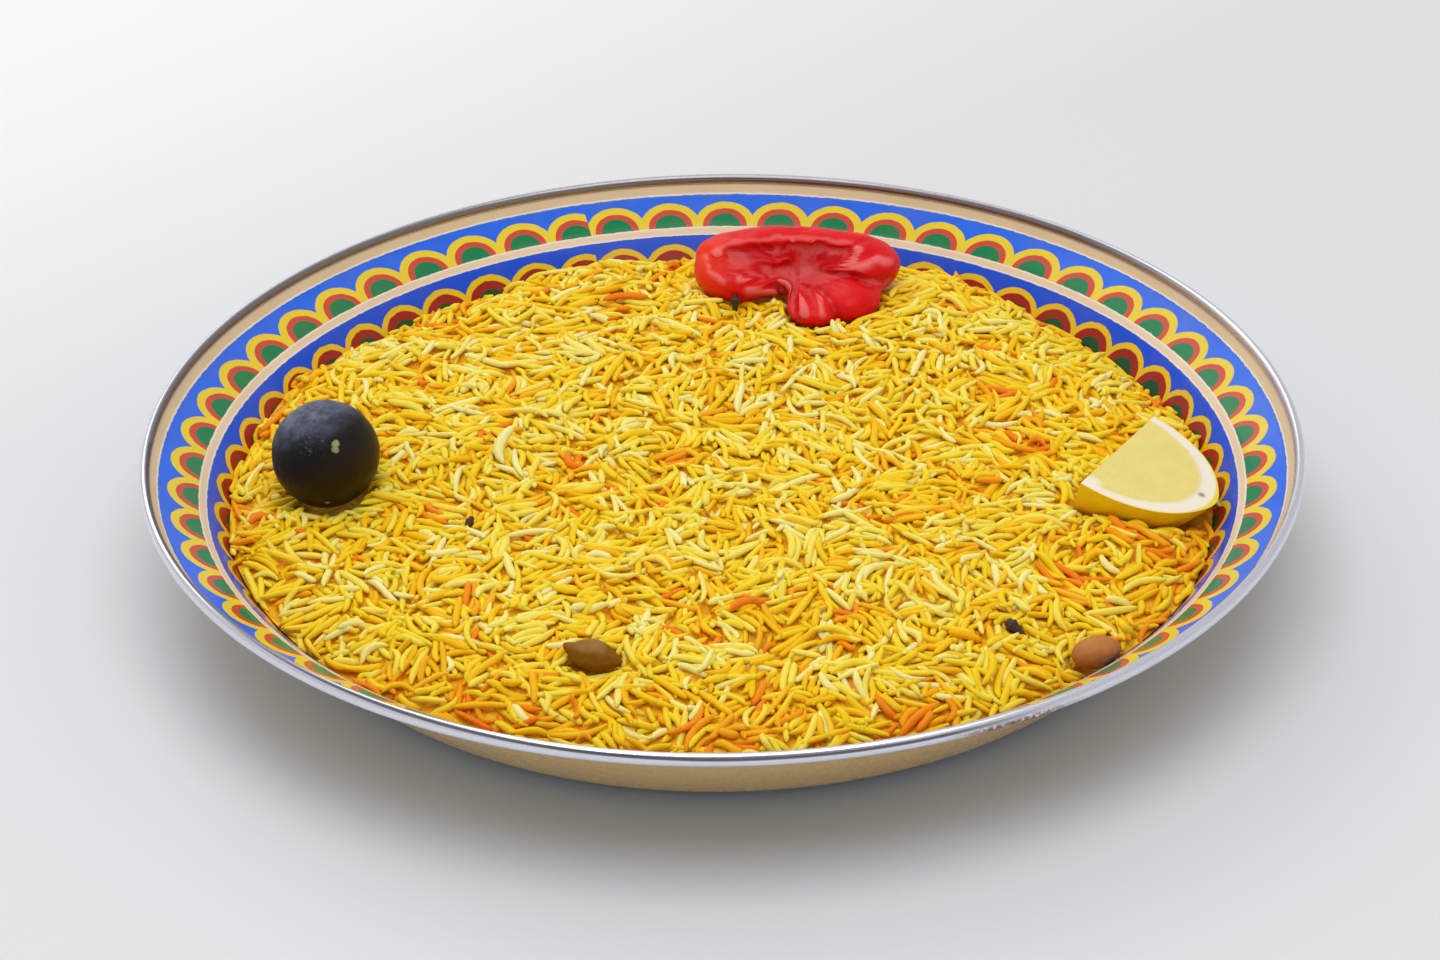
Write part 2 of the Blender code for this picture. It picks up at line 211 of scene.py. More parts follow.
GRAIN_RINGS = [
    # place along half the grain, girth
    (-0.96, 0.4), (-0.74, 0.82), (-0.38, 1.0), (0, 0.97), (0.38, 1.0), (0.74, 0.85), (0.96, 0.45),
]
GRAIN_SIDES = 6
GRAIN_FLATNESS = 0.86
UNEVEN = 0.12
UNEVEN_SEED = 5

# Toppings: places of their middles
LIME_RADIUS = 16.5
LIME_PLACE = (-118.6, -11.2, 44.3)
LIME_CRUST = (-121.0, -23.0, 55.0)
LIME_FLECKS = [
    # place, reach, colour
    ((-114.2, -23.0, 54.5), 0.9, (0.33, 0.31, 0.17)),
    ((-114.4, -23.9, 53.0), 0.9, (0.3, 0.28, 0.14)),
    ((-117.6, -24.5, 35.1), 0.5, (0.35, 0.28, 0.12)),
]

LEMON_HALF_WIDTH = 27.5
LEMON_HALF_DEPTH = 29.5
LEMON_HALF_LENGTH = 32.1
LEMON_TIP = 2.0
LEMON_CUT_OFFSET = 6.0
LEMON_END_OFFSET = -0.95
LEMON_END_LEAN = 0.065
LEMON_FACE_PLACE = (119.5, -11.0, 41.0)
LEMON_AXIS = (0.847, -0.428, -0.318)
LEMON_FACE_NORMAL = (0.312, -0.086, 0.947)
LEMON_SCAR = (143.0, -22.8, 32.4)

PEPPER_PLACE = (25.5, 113.0, 38.5)
PEPPER_REACH = 60.0
PEPPER_BLEND = 1.5
PEPPER_LOBES = [
    # middle from PEPPER_PLACE, half sizes
    ((-4, 7, 4.8), (27, 9, 6.5)),
    ((-20, 1, -1), (13, 13, 8.5)),
    ((-2, 3, -2.5), (24, 10, 6)),
    ((5, -15.5, -5.5), (9, 10, 4.5)),
    ((20.5, 1, 0.8), (12.5, 11.5, 7.5)),
    ((17, -13.5, -3.5), (9.5, 10.5, 6)),
]
PEPPER_DENT = ((-4, -7, 6), (17, 8, 6), 0.8)

PEPPER_SLOPE = 30.0
PEPPER_HOLLOW = [
    # outline of the sunk middle, right and up along a slope of PEPPER_SLOPE degrees
    (-26.5, 4.3), (-24, 7), (-18, 8.4), (-9, 9.1), (0, 9), (9, 8.4), (18, 6.8), (17, 2), (12.4, -1.4),
    (8, -5.4), (0, -6.8), (-6, -3.4), (-16.7, -3.6), (-21.7, -1.4), (-25, 1.4),
]
HOLLOW_DEPTH = 2.8
HOLLOW_SOFT = 1.4
PEPPER_FOLDS = [
    # rise, half width, points of the fold in the same measure
    (0.5, 0.8, [(-30, 5), (-25, 7.9), (-18.6, 9.6), (-5.6, 10.4), (7.3, 9.8), (18, 7.6)]),
    (1.5, 0.9, [(-18.9, -0.2), (-14.4, 1.5), (-11, 2.6), (-3, 3.2)]),
    (1.2, 0.8, [(-1.8, 8.6), (-1, 4.5), (-0.4, -0.5)]),
    (1.0, 0.8, [(5, 8), (4, 3.5), (7, -1)]),
    (0.8, 0.8, [(-12, 8), (-10, 5), (-3, 6)]),
    (0.9, 0.9, [(10, 7), (11, 2.5), (14, 1)]),
    (1.7, 1.4, [(-26, 5.6), (-21.5, 1), (-17, -4)]),
    (2.0, 1.5, [(19, 6.2), (16.6, 1), (11.6, -2.6)]),
    (-1.4, 0.9, [(-18, -4.6), (-8, -4.6), (-5, -6)]),
    (1.1, 1.1, [(-16, -7), (-10, -7), (-6, -8)]),
    (-2.2, 0.9, [(-7.4, -4.4), (-3.9, -9.7), (-0.9, -15)]),
    (1.9, 1.1, [(-5.6, -3.6), (-0.8, -7.6), (2, -14.6)]),
    (-1.7, 1.5, [(3.4, -7.4), (4.4, -11.6)]),
    (0.9, 1.0, [(7.4, -6), (7.2, -15)]),
    (-2.7, 1.0, [(9.6, -5.6), (10.2, -11), (12.4, -16.5)]),
    (-3.2, 1.1, [(13, -3.2), (17, -2.4), (22, -4.8), (32, -4.2)]),
    (-1.3, 1.0, [(18, 6.8), (22.2, 9.4)]),
    (0.9, 1.0, [(-29.5, 4), (-28, -1), (-24, -4)]),
    (-1.2, 1.0, [(-28, 5.4), (-26.2, 1.4), (-22, -3)]),
    (-1.5, 1.3, [(24.8, -7.4), (23.4, -14)]),
    (1.0, 1.3, [(20, 0), (25, 3), (29, 2)]),
    (-0.8, 1.0, [(19.6, 3.6), (24, 5.4)]),
]

POD_SIZE = (15.5, 11.0, 9.6)
POD_PLACE = (-36.3, -108.3, 33.2)
POD_TURN = (0, 8, -14)
POD_FORM = (0.6, 0.05, 2.2)

ALMOND_SIZE = (14.6, 10.4, 9.4)
ALMOND_PLACE = (105.4, -102.6, 28.3)
ALMOND_TURN = (0, -6, 12)
ALMOND_FORM = (0.15, 0.0, 0.0)

CLOVES = [
    # x, y, length, width, lean in degrees, turn in degrees
    (5.0, 99.5, 6.5, 2.4, 75, 80),
    (83.4, -96.0, 9.0, 3.4, 35, 150),
    (-75.8, -37.5, 8.0, 2.2, 30, 60),
]
CLOVE_RINGS = [
    # place along the clove, girth
    (-0.5, 0.3), (-0.2, 0.34), (0.15, 0.5), (0.3, 0.62), (0.38, 0.42), (0.46, 0.4), (0.5, 0.2),
]
CLOVE_SIDES = 10


# Materials


class Wire:
    """One wire of a material. Operators on wires and numbers add Math nodes."""

    def __init__(self, paint, socket):
        self.paint = paint
        self.socket = socket

    def maths(self, operation, *others):
        return self.paint.node("Math", {"operation": operation}, dict(enumerate((self, *others))))

    __add__ = __radd__ = partialmethod(maths, "ADD")
    __sub__ = partialmethod(maths, "SUBTRACT")
    __mul__ = __rmul__ = partialmethod(maths, "MULTIPLY")
    __truediv__ = partialmethod(maths, "DIVIDE")
    __pow__ = partialmethod(maths, "POWER")
    __abs__ = partialmethod(maths, "ABSOLUTE")

    def __rsub__(self, other):
        return self.paint.node("Math", {"operation": "SUBTRACT"}, {0: other, 1: self})

    def clipped(self):
        """Kept from 0 to 1."""
        return self.maths("MAXIMUM", 0).maths("MINIMUM", 1)

    def over(self, level, soft):
        """0 below a level and 1 above it, with a soft step of that width."""
        return ((self - level) / soft + 0.5).clipped()

    def between(self, low, high, soft):
        """1 between two levels and 0 outside them."""
        return self.over(low, soft) * (1 - self.over(high, soft))


class Paint:
    """A material with one Principled shader, whose fixed values are named in Python."""

    def __init__(self, name, fixed=None):
        self.material = bpy.data.materials.new(name)
        self.material.use_nodes = True
        self.nodes = self.material.node_tree.nodes
        self.links = self.material.node_tree.links
        self.shader = self.nodes["Principled BSDF"]
        self.colour = None
        for socket, value in (fixed or {}).items():
            self.shader.inputs[socket].default_value = value
        metres = self.node("TexCoord", output="Object")
        self.place = self.node("VectorMath", {"operation": "SCALE"}, {0: metres, "Scale": 1 / MM})

    def node(self, kind, settings=None, sockets=None, output=0):
        """Add a node: its settings first, then the values or wires of its sockets."""
        node = self.nodes.new("ShaderNode" + kind)
        for setting, value in (settings or {}).items():
            if setting == "stops":
                ramp = node.color_ramp.elements
                while len(ramp) < len(value):
                    ramp.new(0.5)
                for stop, (position, colour) in zip(ramp, value):
                    stop.position = position
                    stop.color = (*colour, 1)
            else:
                setattr(node, setting, value)
        for socket, value in (sockets or {}).items():
            if isinstance(value, Wire):
                self.links.new(value.socket, node.inputs[socket])
            elif isinstance(value, tuple) and len(node.inputs[socket].default_value) == 4:
                node.inputs[socket].default_value = (*value, 1)
            else:
                node.inputs[socket].default_value = value
        return Wire(self, node.outputs[output])

    def mix(self, low, high, share):
        """Run from one colour to another."""
        return self.node("Mix", {"data_type": "RGBA"}, {0: share, 6: low, 7: high}, 2)

    def base(self, low, high, share):
        """The colour under all layers."""
        self.colour = self.mix(low, high, share)

    def layer(self, colour, share):
        """Lay a colour over what is there."""
        self.colour = self.mix(self.colour, colour, share)

    def noise(self, size, detail=3, roughness=0.5, place=None):
        """Cloudy noise, from 0 to 1, whose blots are about size millimetres across."""
        return self.node("TexNoise", {}, {
            "Vector": place or self.place, "Scale": 1 / size, "Detail": detail, "Roughness": roughness})

    def spots(self, size, place=None):
        """Distance to the nearest of many scattered points, in parts of their spacing."""
        return self.node("TexVoronoi", {}, {"Vector": place or self.place, "Scale": 1 / size}, "Distance")

    def parts(self):
        """The three numbers of the place."""
        split = self.node("SeparateXYZ", {}, {0: self.place}).socket.node
        return [Wire(self, output) for output in split.outputs]

    def point(self, x, y, z):
        """A vector of three numbers."""
        return self.node("CombineXYZ", {}, {0: x, 1: y, 2: z})

    def attribute(self, name):
        """The mesh's own values of that name."""
        return self.node("Attribute", {"attribute_name": name}, output="Fac")

    def along(self, direction, origin=(0, 0, 0)):
        """Distance of the surface from an origin along a direction."""
        away = self.node("VectorMath", {"operation": "SUBTRACT"}, {0: self.place, 1: tuple(origin)})
        return self.node("VectorMath", {"operation": "DOT_PRODUCT"}, {0: away, 1: tuple(direction)}, 1)

    def near(self, point, reach, soft):
        """1 within reach of a point and 0 away from it."""
        away = self.node("VectorMath", {"operation": "DISTANCE"}, {0: self.place, 1: tuple(point)}, 1)
        return 1 - away.over(reach, soft)

    def bump(self, height, depth):
        """Let the surface rise by depth millimetres where height is 1."""
        normal = self.node("Bump", {}, {"Height": height, "Distance": depth * MM, "Strength": 1.0})
        self.links.new(normal.socket, self.shader.inputs["Normal"])

    def finish(self, roughness=None, metallic=None):
        """Wire the colour, and what else varies, into the shader."""
        wires = (("Base Color", self.colour), ("Roughness", roughness), ("Metallic", metallic))
        for socket, wire in wires:
            if wire:
                self.links.new(wire.socket, self.shader.inputs[socket])
        return self.material


def printed_enamel():
    """The dish's inner face: a tan ring, two rows of scallops on blue, and beige rings, with painted
    shade darkening the lower row and the blue below the upper row.
    """
    paint = Paint("printed_enamel", {"Roughness": 0.12, "Specular IOR Level": 0.15})
    x, y, _ = paint.parts()
    wobble = (paint.noise(2.5, 2) - 0.5) * 0.5
    radius = (x * x + y * y) ** 0.5 + wobble
    azimuth = y.maths("ARCTAN2", x) * math.degrees(1)
    after = (azimuth - SEAM_AZIMUTH).maths("WRAP", 180, -180)
    squeeze = 1 / SCALLOP_PITCH - 1 / FRONT_PITCH
    left = (after - SEAM_AFTER) / SCALLOP_PITCH - (after - FRONT_START).maths("MAXIMUM", 0) * squeeze
    right = (-1 * after - SEAM_BEFORE) / SCALLOP_PITCH
    on_left = after.maths("GREATER_THAN", 0)
    count = left * on_left + right * (1 - on_left)
    off_centre = abs(count - count.maths("ROUND"))

    # painted shade: the blue below the upper row is darkened
    deep = 1 - radius.over(UPPER_BASE - 1, 0.5)
    paint.base((0.022, 0.12, 0.74), (0.035, 0.17, 0.84), paint.noise(9))
    paint.layer((0.012, 0.06, 0.62), deep * 0.75)
    rows = ((UPPER_BASE, FLANGE_ANGLE, UPPER_SCALLOPS), (LOWER_BASE, WALL_ANGLE, LOWER_SCALLOPS))
    for base, slope, scallops in rows:
        across = off_centre * (math.radians(SCALLOP_PITCH) * base)
        up = (radius - base) / math.cos(math.radians(slope))
        far = (across * across + up * up) ** 0.5
        above = radius.over(base, 0.2)
        if base == LOWER_BASE:
            above = above * (1 - radius.over(UPPER_BASE - RING_WIDTH, 0.2))
        for reach, pigment in scallops:
            paint.layer(pigment, (1 - far.over(reach, 0.25)) * above)
    beige = (0.78, 0.6, 0.42)
    pale = (0.85, 0.78, 0.66)
    for base in (UPPER_BASE, LOWER_BASE):
        paint.layer(pale, radius.between(base - RING_WIDTH, base, 0.2))
        paint.layer(beige, radius.between(base - RING_WIDTH + 0.4, base - 0.4, 0.2))
    paint.layer((0.7, 0.52, 0.33), 1 - radius.over(LOWER_BASE - RING_WIDTH, 0.2))
    paint.layer(pale, radius.over(TAN_RING, 0.2))
    paint.layer((0.72, 0.55, 0.34), radius.over(TAN_RING + 0.4, 0.2))
    grime = paint.noise(22, 4).over(0.6, 0.3) * 0.12
    paint.layer((0.35, 0.22, 0.1), grime)
    roughness = 0.1 + paint.noise(6, 4) * 0.12
    paint.bump(paint.noise(7, 2), 0.08)
    return paint.finish(roughness)


def plain_enamel():
    """The dish's tan underside, a little scuffed."""
    paint = Paint("tan_enamel", {"Coat Weight": 0.2, "Coat Roughness": 0.1})
    paint.base((0.86, 0.55, 0.2), (0.93, 0.62, 0.26), paint.noise(30, 3))
    scuffs = paint.noise(3, 6, 0.7).over(0.66, 0.06) * paint.noise(40, 2).over(0.5, 0.2)
    paint.layer((0.5, 0.31, 0.13), scuffs * 0.6)
    stain = paint.near(RUST_PLACE, 6, 6) * paint.noise(1.5, 4, 0.7).over(0.4, 0.1)
    paint.layer((0.22, 0.07, 0.025), stain * 0.85)
    roughness = 0.2 + paint.noise(5, 4) * 0.15 + scuffs * 0.2
    paint.bump(paint.noise(9, 2), 0.1)
    return paint.finish(roughness)


def edge_steel(centre):
    """Rolled steel: a painted dark reflection line round the left, painted dark reflection at the back,
    rust at the right.
    """
    paint = Paint("edge_steel")
    x, y, z = paint.parts()
    turn = y.maths("ARCTAN2", x) * math.degrees(1)
    rise = (z - centre[1]).maths("ARCTAN2", (x * x + y * y) ** 0.5 - centre[0]) * math.degrees(1)
    streaks = paint.point(turn * 0.2, z * 3, x * 0.02)
    brushed = paint.noise(1.0, 4, 0.6, streaks)
    paint.base((0.72, 0.72, 0.8), (0.88, 0.88, 0.96), brushed)
    # painted reflection: the bead is darkened at the back, as if it mirrored dark surroundings
    back = (y * 0.9 - x * 0.45) / (x * x + y * y) ** 0.5
    paint.layer((0.16, 0.13, 0.13), back.over(0.1, 0.5) * rise.over(98, 30) * 0.85)
    # painted reflection: a dark line along the bead round the left and the front
    line_place = 38 + (-90 - turn).maths("MAXIMUM", 0) * 0.95
    line = (1 - abs(rise - line_place).over(13, 9)) * (1 - turn.over(-64, 12))
    paint.layer((0.12, 0.11, 0.14), line * 0.9)
    stain = turn.between(-68, -58, 5) * (1 - rise.over(14, 40))
    fine = paint.noise(1.3, 5, 0.7)
    rust = stain * fine.over(0.45, 0.12) + paint.noise(1.8, 3, 0.6).over(0.755, 0.03)
    rust = rust.maths("MINIMUM", 1)
    paint.layer(paint.mix((0.1, 0.035, 0.015), (0.26, 0.09, 0.03), fine), rust * 0.95)
    roughness = 0.2 + brushed * 0.14 + rust * 0.45
    metallic = 1 - rust * 0.9
    paint.bump(brushed, 0.02)
    return paint.finish(roughness, metallic)


def rice_grain(name, colours):
    """Moist cooked grain: each grain has its own tint, with a paler or deeper end."""
    paint = Paint(name, {
        "Specular IOR Level": 0.2, "Subsurface Weight": 0.3, "Subsurface Radius": (1.0, 0.8, 0.5),
        "Subsurface Scale": 1.2 * MM, "IOR": 1.38})
    step = 1 / (len(colours) - 1)
    stops = [(i * step, colour) for i, colour in enumerate(colours)]
    soaked = paint.attribute("tint") + (paint.noise(6, 2) - 0.5) * 0.7
    paint.colour = paint.node("ValToRGB", {"stops": stops}, {0: soaked.clipped()})
    roughness = 0.35 + paint.noise(2.5, 3) * 0.25
    paint.bump(paint.noise(1.4, 3), 0.12)
    return paint.finish(roughness)


def rice_shadow():
    """What shows between the grains: a bed painted and bumped like grains in two directions."""
    paint = Paint("rice_core", {"Roughness": 0.6, "Specular IOR Level": 0.2})
    beds = []
    for degrees in (28, -47):
        turn = math.radians(degrees)
        along = paint.along((math.cos(turn), math.sin(turn), 0)) / 9
        across = paint.along((-math.sin(turn), math.cos(turn), 0)) / 2.3
        wave = paint.noise(7, 2) * 1.5
        beds.append(1 - paint.spots(1, paint.point(along, across + wave, 0.0)))
    share = paint.noise(8, 2).over(0.5, 0.05)
    bed = beds[0] * share + beds[1] * (1 - share)
    paint.base((0.93, 0.36, 0.003), (0.95, 0.66, 0.03), bed.over(0.5, 0.6))
    paint.layer((0.9, 0.3, 0.003), paint.noise(11, 3).over(0.66, 0.08) * 0.6)
    paint.bump(bed, 1.2)
    return paint.finish()


def lime_skin():
    """Dried black lime: nearly black, with a painted blue grey sheen above, a painted warm glow below and
    painted glints on its crusty end.
    """
    paint = Paint("lime_skin", {"Specular IOR Level": 0.18})
    patches = paint.noise(9, 4, 0.6)
    paint.base((0.003, 0.003, 0.004), (0.009, 0.007, 0.006), patches)
    # painted light: a warm olive brown glow on the lower side, which faces the rice
    low = paint.along((0.5, -0.3, -0.81), LIME_PLACE).over(4, 14)
    paint.layer((0.032, 0.017, 0.002), low * 0.8)
    wrinkles = paint.noise(1.3, 5, 0.7)
    # painted sheen: blue grey light on the upper side, broken up by wrinkles
    painted_sheen = paint.along((-0.34, 0.22, 0.91), LIME_PLACE).over(10.5, 7)
    painted_sheen = painted_sheen * (0.35 + 0.65 * paint.noise(5, 4, 0.6).over(0.5, 0.2))
    paint.layer((0.17, 0.19, 0.29), painted_sheen * 0.75 * (0.5 + wrinkles))
    # painted highlights: blue glints speckled over the crusty stem end, whose mask also bumps the crust
    crust = paint.near(LIME_CRUST, 3.5, 4) * wrinkles.over(0.58, 0.08)
    paint.layer((0.16, 0.19, 0.3), crust * 0.7)
    for fleck, reach, tone in LIME_FLECKS:
        ragged = paint.near(fleck, reach + 0.4, 1.6) + (wrinkles - 0.5) * 1.2
        paint.layer(tone, ragged.over(0.65, 0.3))
    roughness = 0.28 + patches * 0.25
    paint.bump(wrinkles * 0.5 + paint.noise(6, 3) + crust * 0.6, 0.4)
    return paint.finish(roughness)


def pepper_skin():
    """Soft red pepper: deep red skin, with painted shade in its hollow and grooves and painted pink
    highlights on its folds.
    """
    paint = Paint("pepper_skin", {
        "Specular IOR Level": 0.14, "Subsurface Weight": 0.08, "Subsurface Scale": 1.5 * MM})
    fold = paint.attribute("fold")
    paint.base((0.6, 0.003, 0.006), (0.86, 0.008, 0.008), paint.noise(9, 3))
    left = 1 - paint.along((1, 0, 0), PEPPER_PLACE).over(-26, 12)
    paint.layer((0.9, 0.05, 0.002), left * 0.8)
    # painted shade: darker red where the skin is sunk, in the hollow and grooves
    paint.colour = paint.mix((0.3, 0.0, 0.004), paint.colour, (fold / 7 + 1).clipped())
    # painted highlights: pink on the raised folds, with cloudy pink patches outside the hollow
    cloudy = paint.noise(8, 3).over(0.5, 0.1) * (1 - fold.over(-1.5, 1))
    paint.layer((0.86, 0.17, 0.17), fold.over(0.4, 0.7) * 0.8 + cloudy * 0.4)
    roughness = 0.2 + paint.noise(4, 3) * 0.2
    paint.bump(paint.noise(7, 3, 0.4), 0.7)
    return paint.finish(roughness)


def lemon_level(paint, middle, side, normal, axis):
    """How far out a point of the lemon lies: 1 on its rind."""
    across = paint.along(side, middle) / LEMON_HALF_WIDTH
    deep = paint.along(normal, middle) / LEMON_HALF_DEPTH
    long = paint.along(axis, middle) / LEMON_HALF_LENGTH
    return (across * across + deep * deep + long * long) ** 0.5


def lemon_rind(middle, side, normal, axis):
    """Rind: yellow by the cut, with painted shade turning it orange below and deeper orange lowest,
    finely pitted.
    """
    paint = Paint("lemon_rind", {
        "Specular IOR Level": 0.2, "Subsurface Weight": 0.1, "Subsurface Scale": 2 * MM})
    depth = -1 * paint.along(normal, middle - normal * LEMON_CUT_OFFSET)
    # painted shade: the rind turns orange away from the cut, with random tone on top
    shade_and_tone_below = depth.over(7, 8) + paint.noise(9, 3) * 0.3
    paint.base((0.95, 0.72, 0.012), (0.95, 0.5, 0.004), shade_and_tone_below)
    # painted shade: deeper orange on the lowest part of the rind
    paint.layer((0.9, 0.36, 0.003), depth.over(15, 7) * 0.7)
    paint.bump(paint.spots(1.7).over(0.25, 0.5), 0.12)
    return paint.finish(0.35 + paint.noise(5, 2) * 0.1)


def lemon_flesh(middle, side, normal, axis):
    """The cut: white pith round pale flesh, with a brown scar near its right end."""
    paint = Paint("lemon_flesh", {
        "Specular IOR Level": 0.25, "Subsurface Weight": 0.25, "Subsurface Scale": 2.5 * MM})
    level = lemon_level(paint, middle, side, normal, axis)
    long = paint.along(axis, middle)
    across = paint.along(side, middle)
    pith_width = 0.12 + long.over(14, 24) * 0.05
    pith = (level + (paint.noise(4, 2) - 0.5) * 0.04).over(1 - pith_width, 0.05)
    pith = pith.maths("MAXIMUM", (1 - long.over(2, 3)) * (1 - across.over(-20.5, 2)))
    fan = across.maths("ARCTAN2", long) * 20
    grain = paint.noise(1.0, 3, 0.6, paint.point(fan, level * 9, 1.0))
    paint.base((0.74, 0.62, 0.11), (0.92, 0.77, 0.3), 0.45 * grain + 0.55 * paint.noise(7, 3))
    paint.layer((0.9, 0.82, 0.67), pith)
    paint.layer((0.88, 0.66, 0.06), level.over(0.985, 0.02))
    scar = paint.near(LEMON_SCAR, 1.0, 1.4)
    paint.layer((0.2, 0.1, 0.06), scar * 0.85)
    paint.bump(paint.noise(2, 3) * (1 - pith), 0.25)
    return paint.finish(0.3 + pith * 0.3)


def ridged_husk():
    """Cardamom pod: olive brown with a painted tan highlight on top, ridged along its length."""
    paint = Paint("husk", {"Specular IOR Level": 0.12})
    paint.base((0.15, 0.058, 0.002), (0.32, 0.13, 0.004), paint.noise(3, 4, 0.6))
    # painted highlight: tan on the pod's upper side
    height = paint.along((0, 0, 1), POD_PLACE) + paint.noise(4, 2) * 3
    paint.layer((0.42, 0.26, 0.1), height.over(5.5, 2) * 0.6)
    paint.bump(paint.noise(1.2, 4, 0.6), 0.3)
    return paint.finish(0.45 + paint.noise(3, 2) * 0.2)


def nut_skin():
    """Almond: satin brown skin with faint veins."""
    paint = Paint("nut_skin", {
        "Specular IOR Level": 0.2, "Subsurface Weight": 0.1, "Subsurface Scale": 1 * MM})
    paint.base((0.38, 0.12, 0.02), (0.58, 0.23, 0.055), paint.noise(5, 4))
    paint.bump(paint.noise(2, 4, 0.6), 0.2)
    return paint.finish(0.35 + paint.noise(4, 2) * 0.15)


def clove_bark():
    """Cloves: dark purple brown."""
    paint = Paint("clove_bark")
    paint.base((0.025, 0.009, 0.006), (0.07, 0.025, 0.018), paint.noise(2, 4))
    paint.bump(paint.noise(0.8, 4), 0.2)
    return paint.finish(0.5 + paint.noise(2, 2) * 0.2)


# Making


def mesh_of(bm, name):
    """Turn a bmesh into a mesh."""
    mesh = bpy.data.meshes.new(name)
    bm.to_mesh(mesh)
    bm.free()
    return mesh


def linked(name, data):
    """A new object in the scene."""
    thing = bpy.data.objects.new(name, data)
    bpy.context.scene.collection.objects.link(thing)
    return thing


def stand_for(piece, node):
    """Hide the solid that a piece replaces, and let the piece ride on the root body."""
    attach(piece, "root")
    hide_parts(node)


def add_piece(name, bm, materials, node=None, smooth_angle=40):
    """Make a piece of a bmesh in millimetres, shade it, and say which solid it stands for."""
    mesh = mesh_of(bm, name)
    mesh.transform(Matrix.Scale(MM, 4))
    for material in materials:
        mesh.materials.append(material)
    mesh.shade_smooth()
    if smooth_angle:
        mesh.set_sharp_from_angle(angle=math.radians(smooth_angle))
    piece = linked(name, mesh)
    if node:
        stand_for(piece, node)
    return piece


def join_rings(bm, rings, closed=False):
    """Faces between rings of corners, where a ring of one corner is a tip; returns them by ring."""
    pairs = list(zip(rings, rings[1:]))
    if closed:
        pairs.append((rings[-1], rings[0]))
    rows = []
    for a, b in pairs:
        row = []
        for k in range(max(len(a), len(b))):
            n = k + 1
            corners = (a[k % len(a)], a[n % len(a)], b[n % len(b)], b[k % len(b)])
            row.append(bm.faces.new(dict.fromkeys(corners)))
        rows.append(row)
    bmesh.ops.recalc_face_normals(bm, faces=bm.faces)
    return rows


def sheet_path(offset, to_lip=True, bends=(10, 8, 5)):
    """Points (radius, height) of the dish's section, offset upward from its underside."""
    x, z, heading = 0.0, 0.0, 0.0
    points = [(0.0, offset)]

    def mark():
        points.append((x - offset * math.sin(heading), z + offset * math.cos(heading)))

    def line(length):
        nonlocal x, z
        x += length * math.cos(heading)
        z += length * math.sin(heading)
        mark()

    def arc(radius, to_degrees, segments):
        nonlocal x, z, heading
        start, end = heading, math.radians(to_degrees)
        side = 1 if end > start else -1
        cx = x - side * radius * math.sin(start)
        cz = z + side * radius * math.cos(start)
        for i in range(1, segments + 1):
            heading = start + (end - start) * i / segments
            x = cx + side * radius * math.sin(heading)
            z = cz - side * radius * math.cos(heading)
            mark()

    line(FOOT_RADIUS)
    arc(HEEL_RADIUS, WALL_ANGLE, bends[0])
    line(WALL_LENGTH)
    if to_lip:
        arc(SHOULDER_RADIUS, FLANGE_ANGLE, bends[1])
        line(FLANGE_LENGTH)
        arc(LIP_RADIUS, LIP_ANGLE, bends[2])
        half_sheet = SHEET / 2 * math.sin(heading)
        centre = DISH_RADIUS - BEAD_RADIUS
        line((centre + half_sheet - x) / math.cos(heading) + LIP_PAST_CENTRE)
    return points


def turned(bm, profile, closed):
    """Spin a half section, given as (radius, height), round the Z axis; returns faces by ring."""
    rings = []
    for radius, height in profile:
        steps = DISH_STEPS if radius > 0 else 1
        turns = [math.tau * k / steps for k in range(steps)]
        rings.append([bm.verts.new((radius * math.cos(t), radius * math.sin(t), height)) for t in turns])
    return join_rings(bm, rings, closed)


def make_dish():
    """The enamelled sheet: printed inside, plain tan underneath."""
    inner = sheet_path(SHEET)
    outer = sheet_path(0.0)
    bm = bmesh.new()
    rows = turned(bm, inner + outer[::-1], False)
    for row in rows[len(inner) - 1:]:
        for face in row:
            face.material_index = 1
    add_piece("dish_enamel", bm, [printed_enamel(), plain_enamel()], "plate")


def make_band():
    """The steel bead that wraps the lip, open below toward the inside of the dish."""
    lip = math.radians(LIP_ANGLE)
    lip_end = Vector(sheet_path(SHEET / 2)[-1])
    along = Vector((math.cos(lip), math.sin(lip)))
    across = Vector((-math.sin(lip), math.cos(lip)))
    centre = lip_end - along * LIP_PAST_CENTRE
    half_slot = SHEET / 2 + GAP
    half_mouth = math.asin(half_slot / BEAD_RADIUS)
    start = lip + math.pi - half_mouth
    end = lip - math.pi + half_mouth
    profile = []
    for i in range(BEAD_SIDES + 1):
        angle = start + (end - start) * i / BEAD_SIDES
        rim = Vector((math.cos(angle), math.sin(angle) * BEAD_TALLNESS + BEAD_LIFT))
        profile.append(centre + BEAD_RADIUS * rim)
    slot_end = centre + along * (LIP_PAST_CENTRE + GAP)
    profile.append(slot_end - across * half_slot)
    profile.append(slot_end + across * half_slot)
    bm = bmesh.new()
    turned(bm, profile, True)
    add_piece("steel_band", bm, [edge_steel(centre)], "rim_band")


# Rice


def edge_height(azimuth):
    """Height at which the heap meets the dish's wall, by azimuth in degrees."""
    height = np.full_like(azimuth, EDGE_HEIGHT)
    for middle, rise, half_width in EDGE_SWELLS:
        away = np.abs((azimuth - middle + 180) % 360 - 180)
        height += rise * np.exp(-(away / half_width) ** 2)
    return height


def wall_radius(height, offset):
    """Radius of the dish's straight wall at a height, moved inward by an offset."""
    heel, top = sheet_path(SHEET + offset, to_lip=False)[-2:]
    share = (height - heel[1]) / (top[1] - heel[1])
    return heel[0] + share * (top[0] - heel[0])


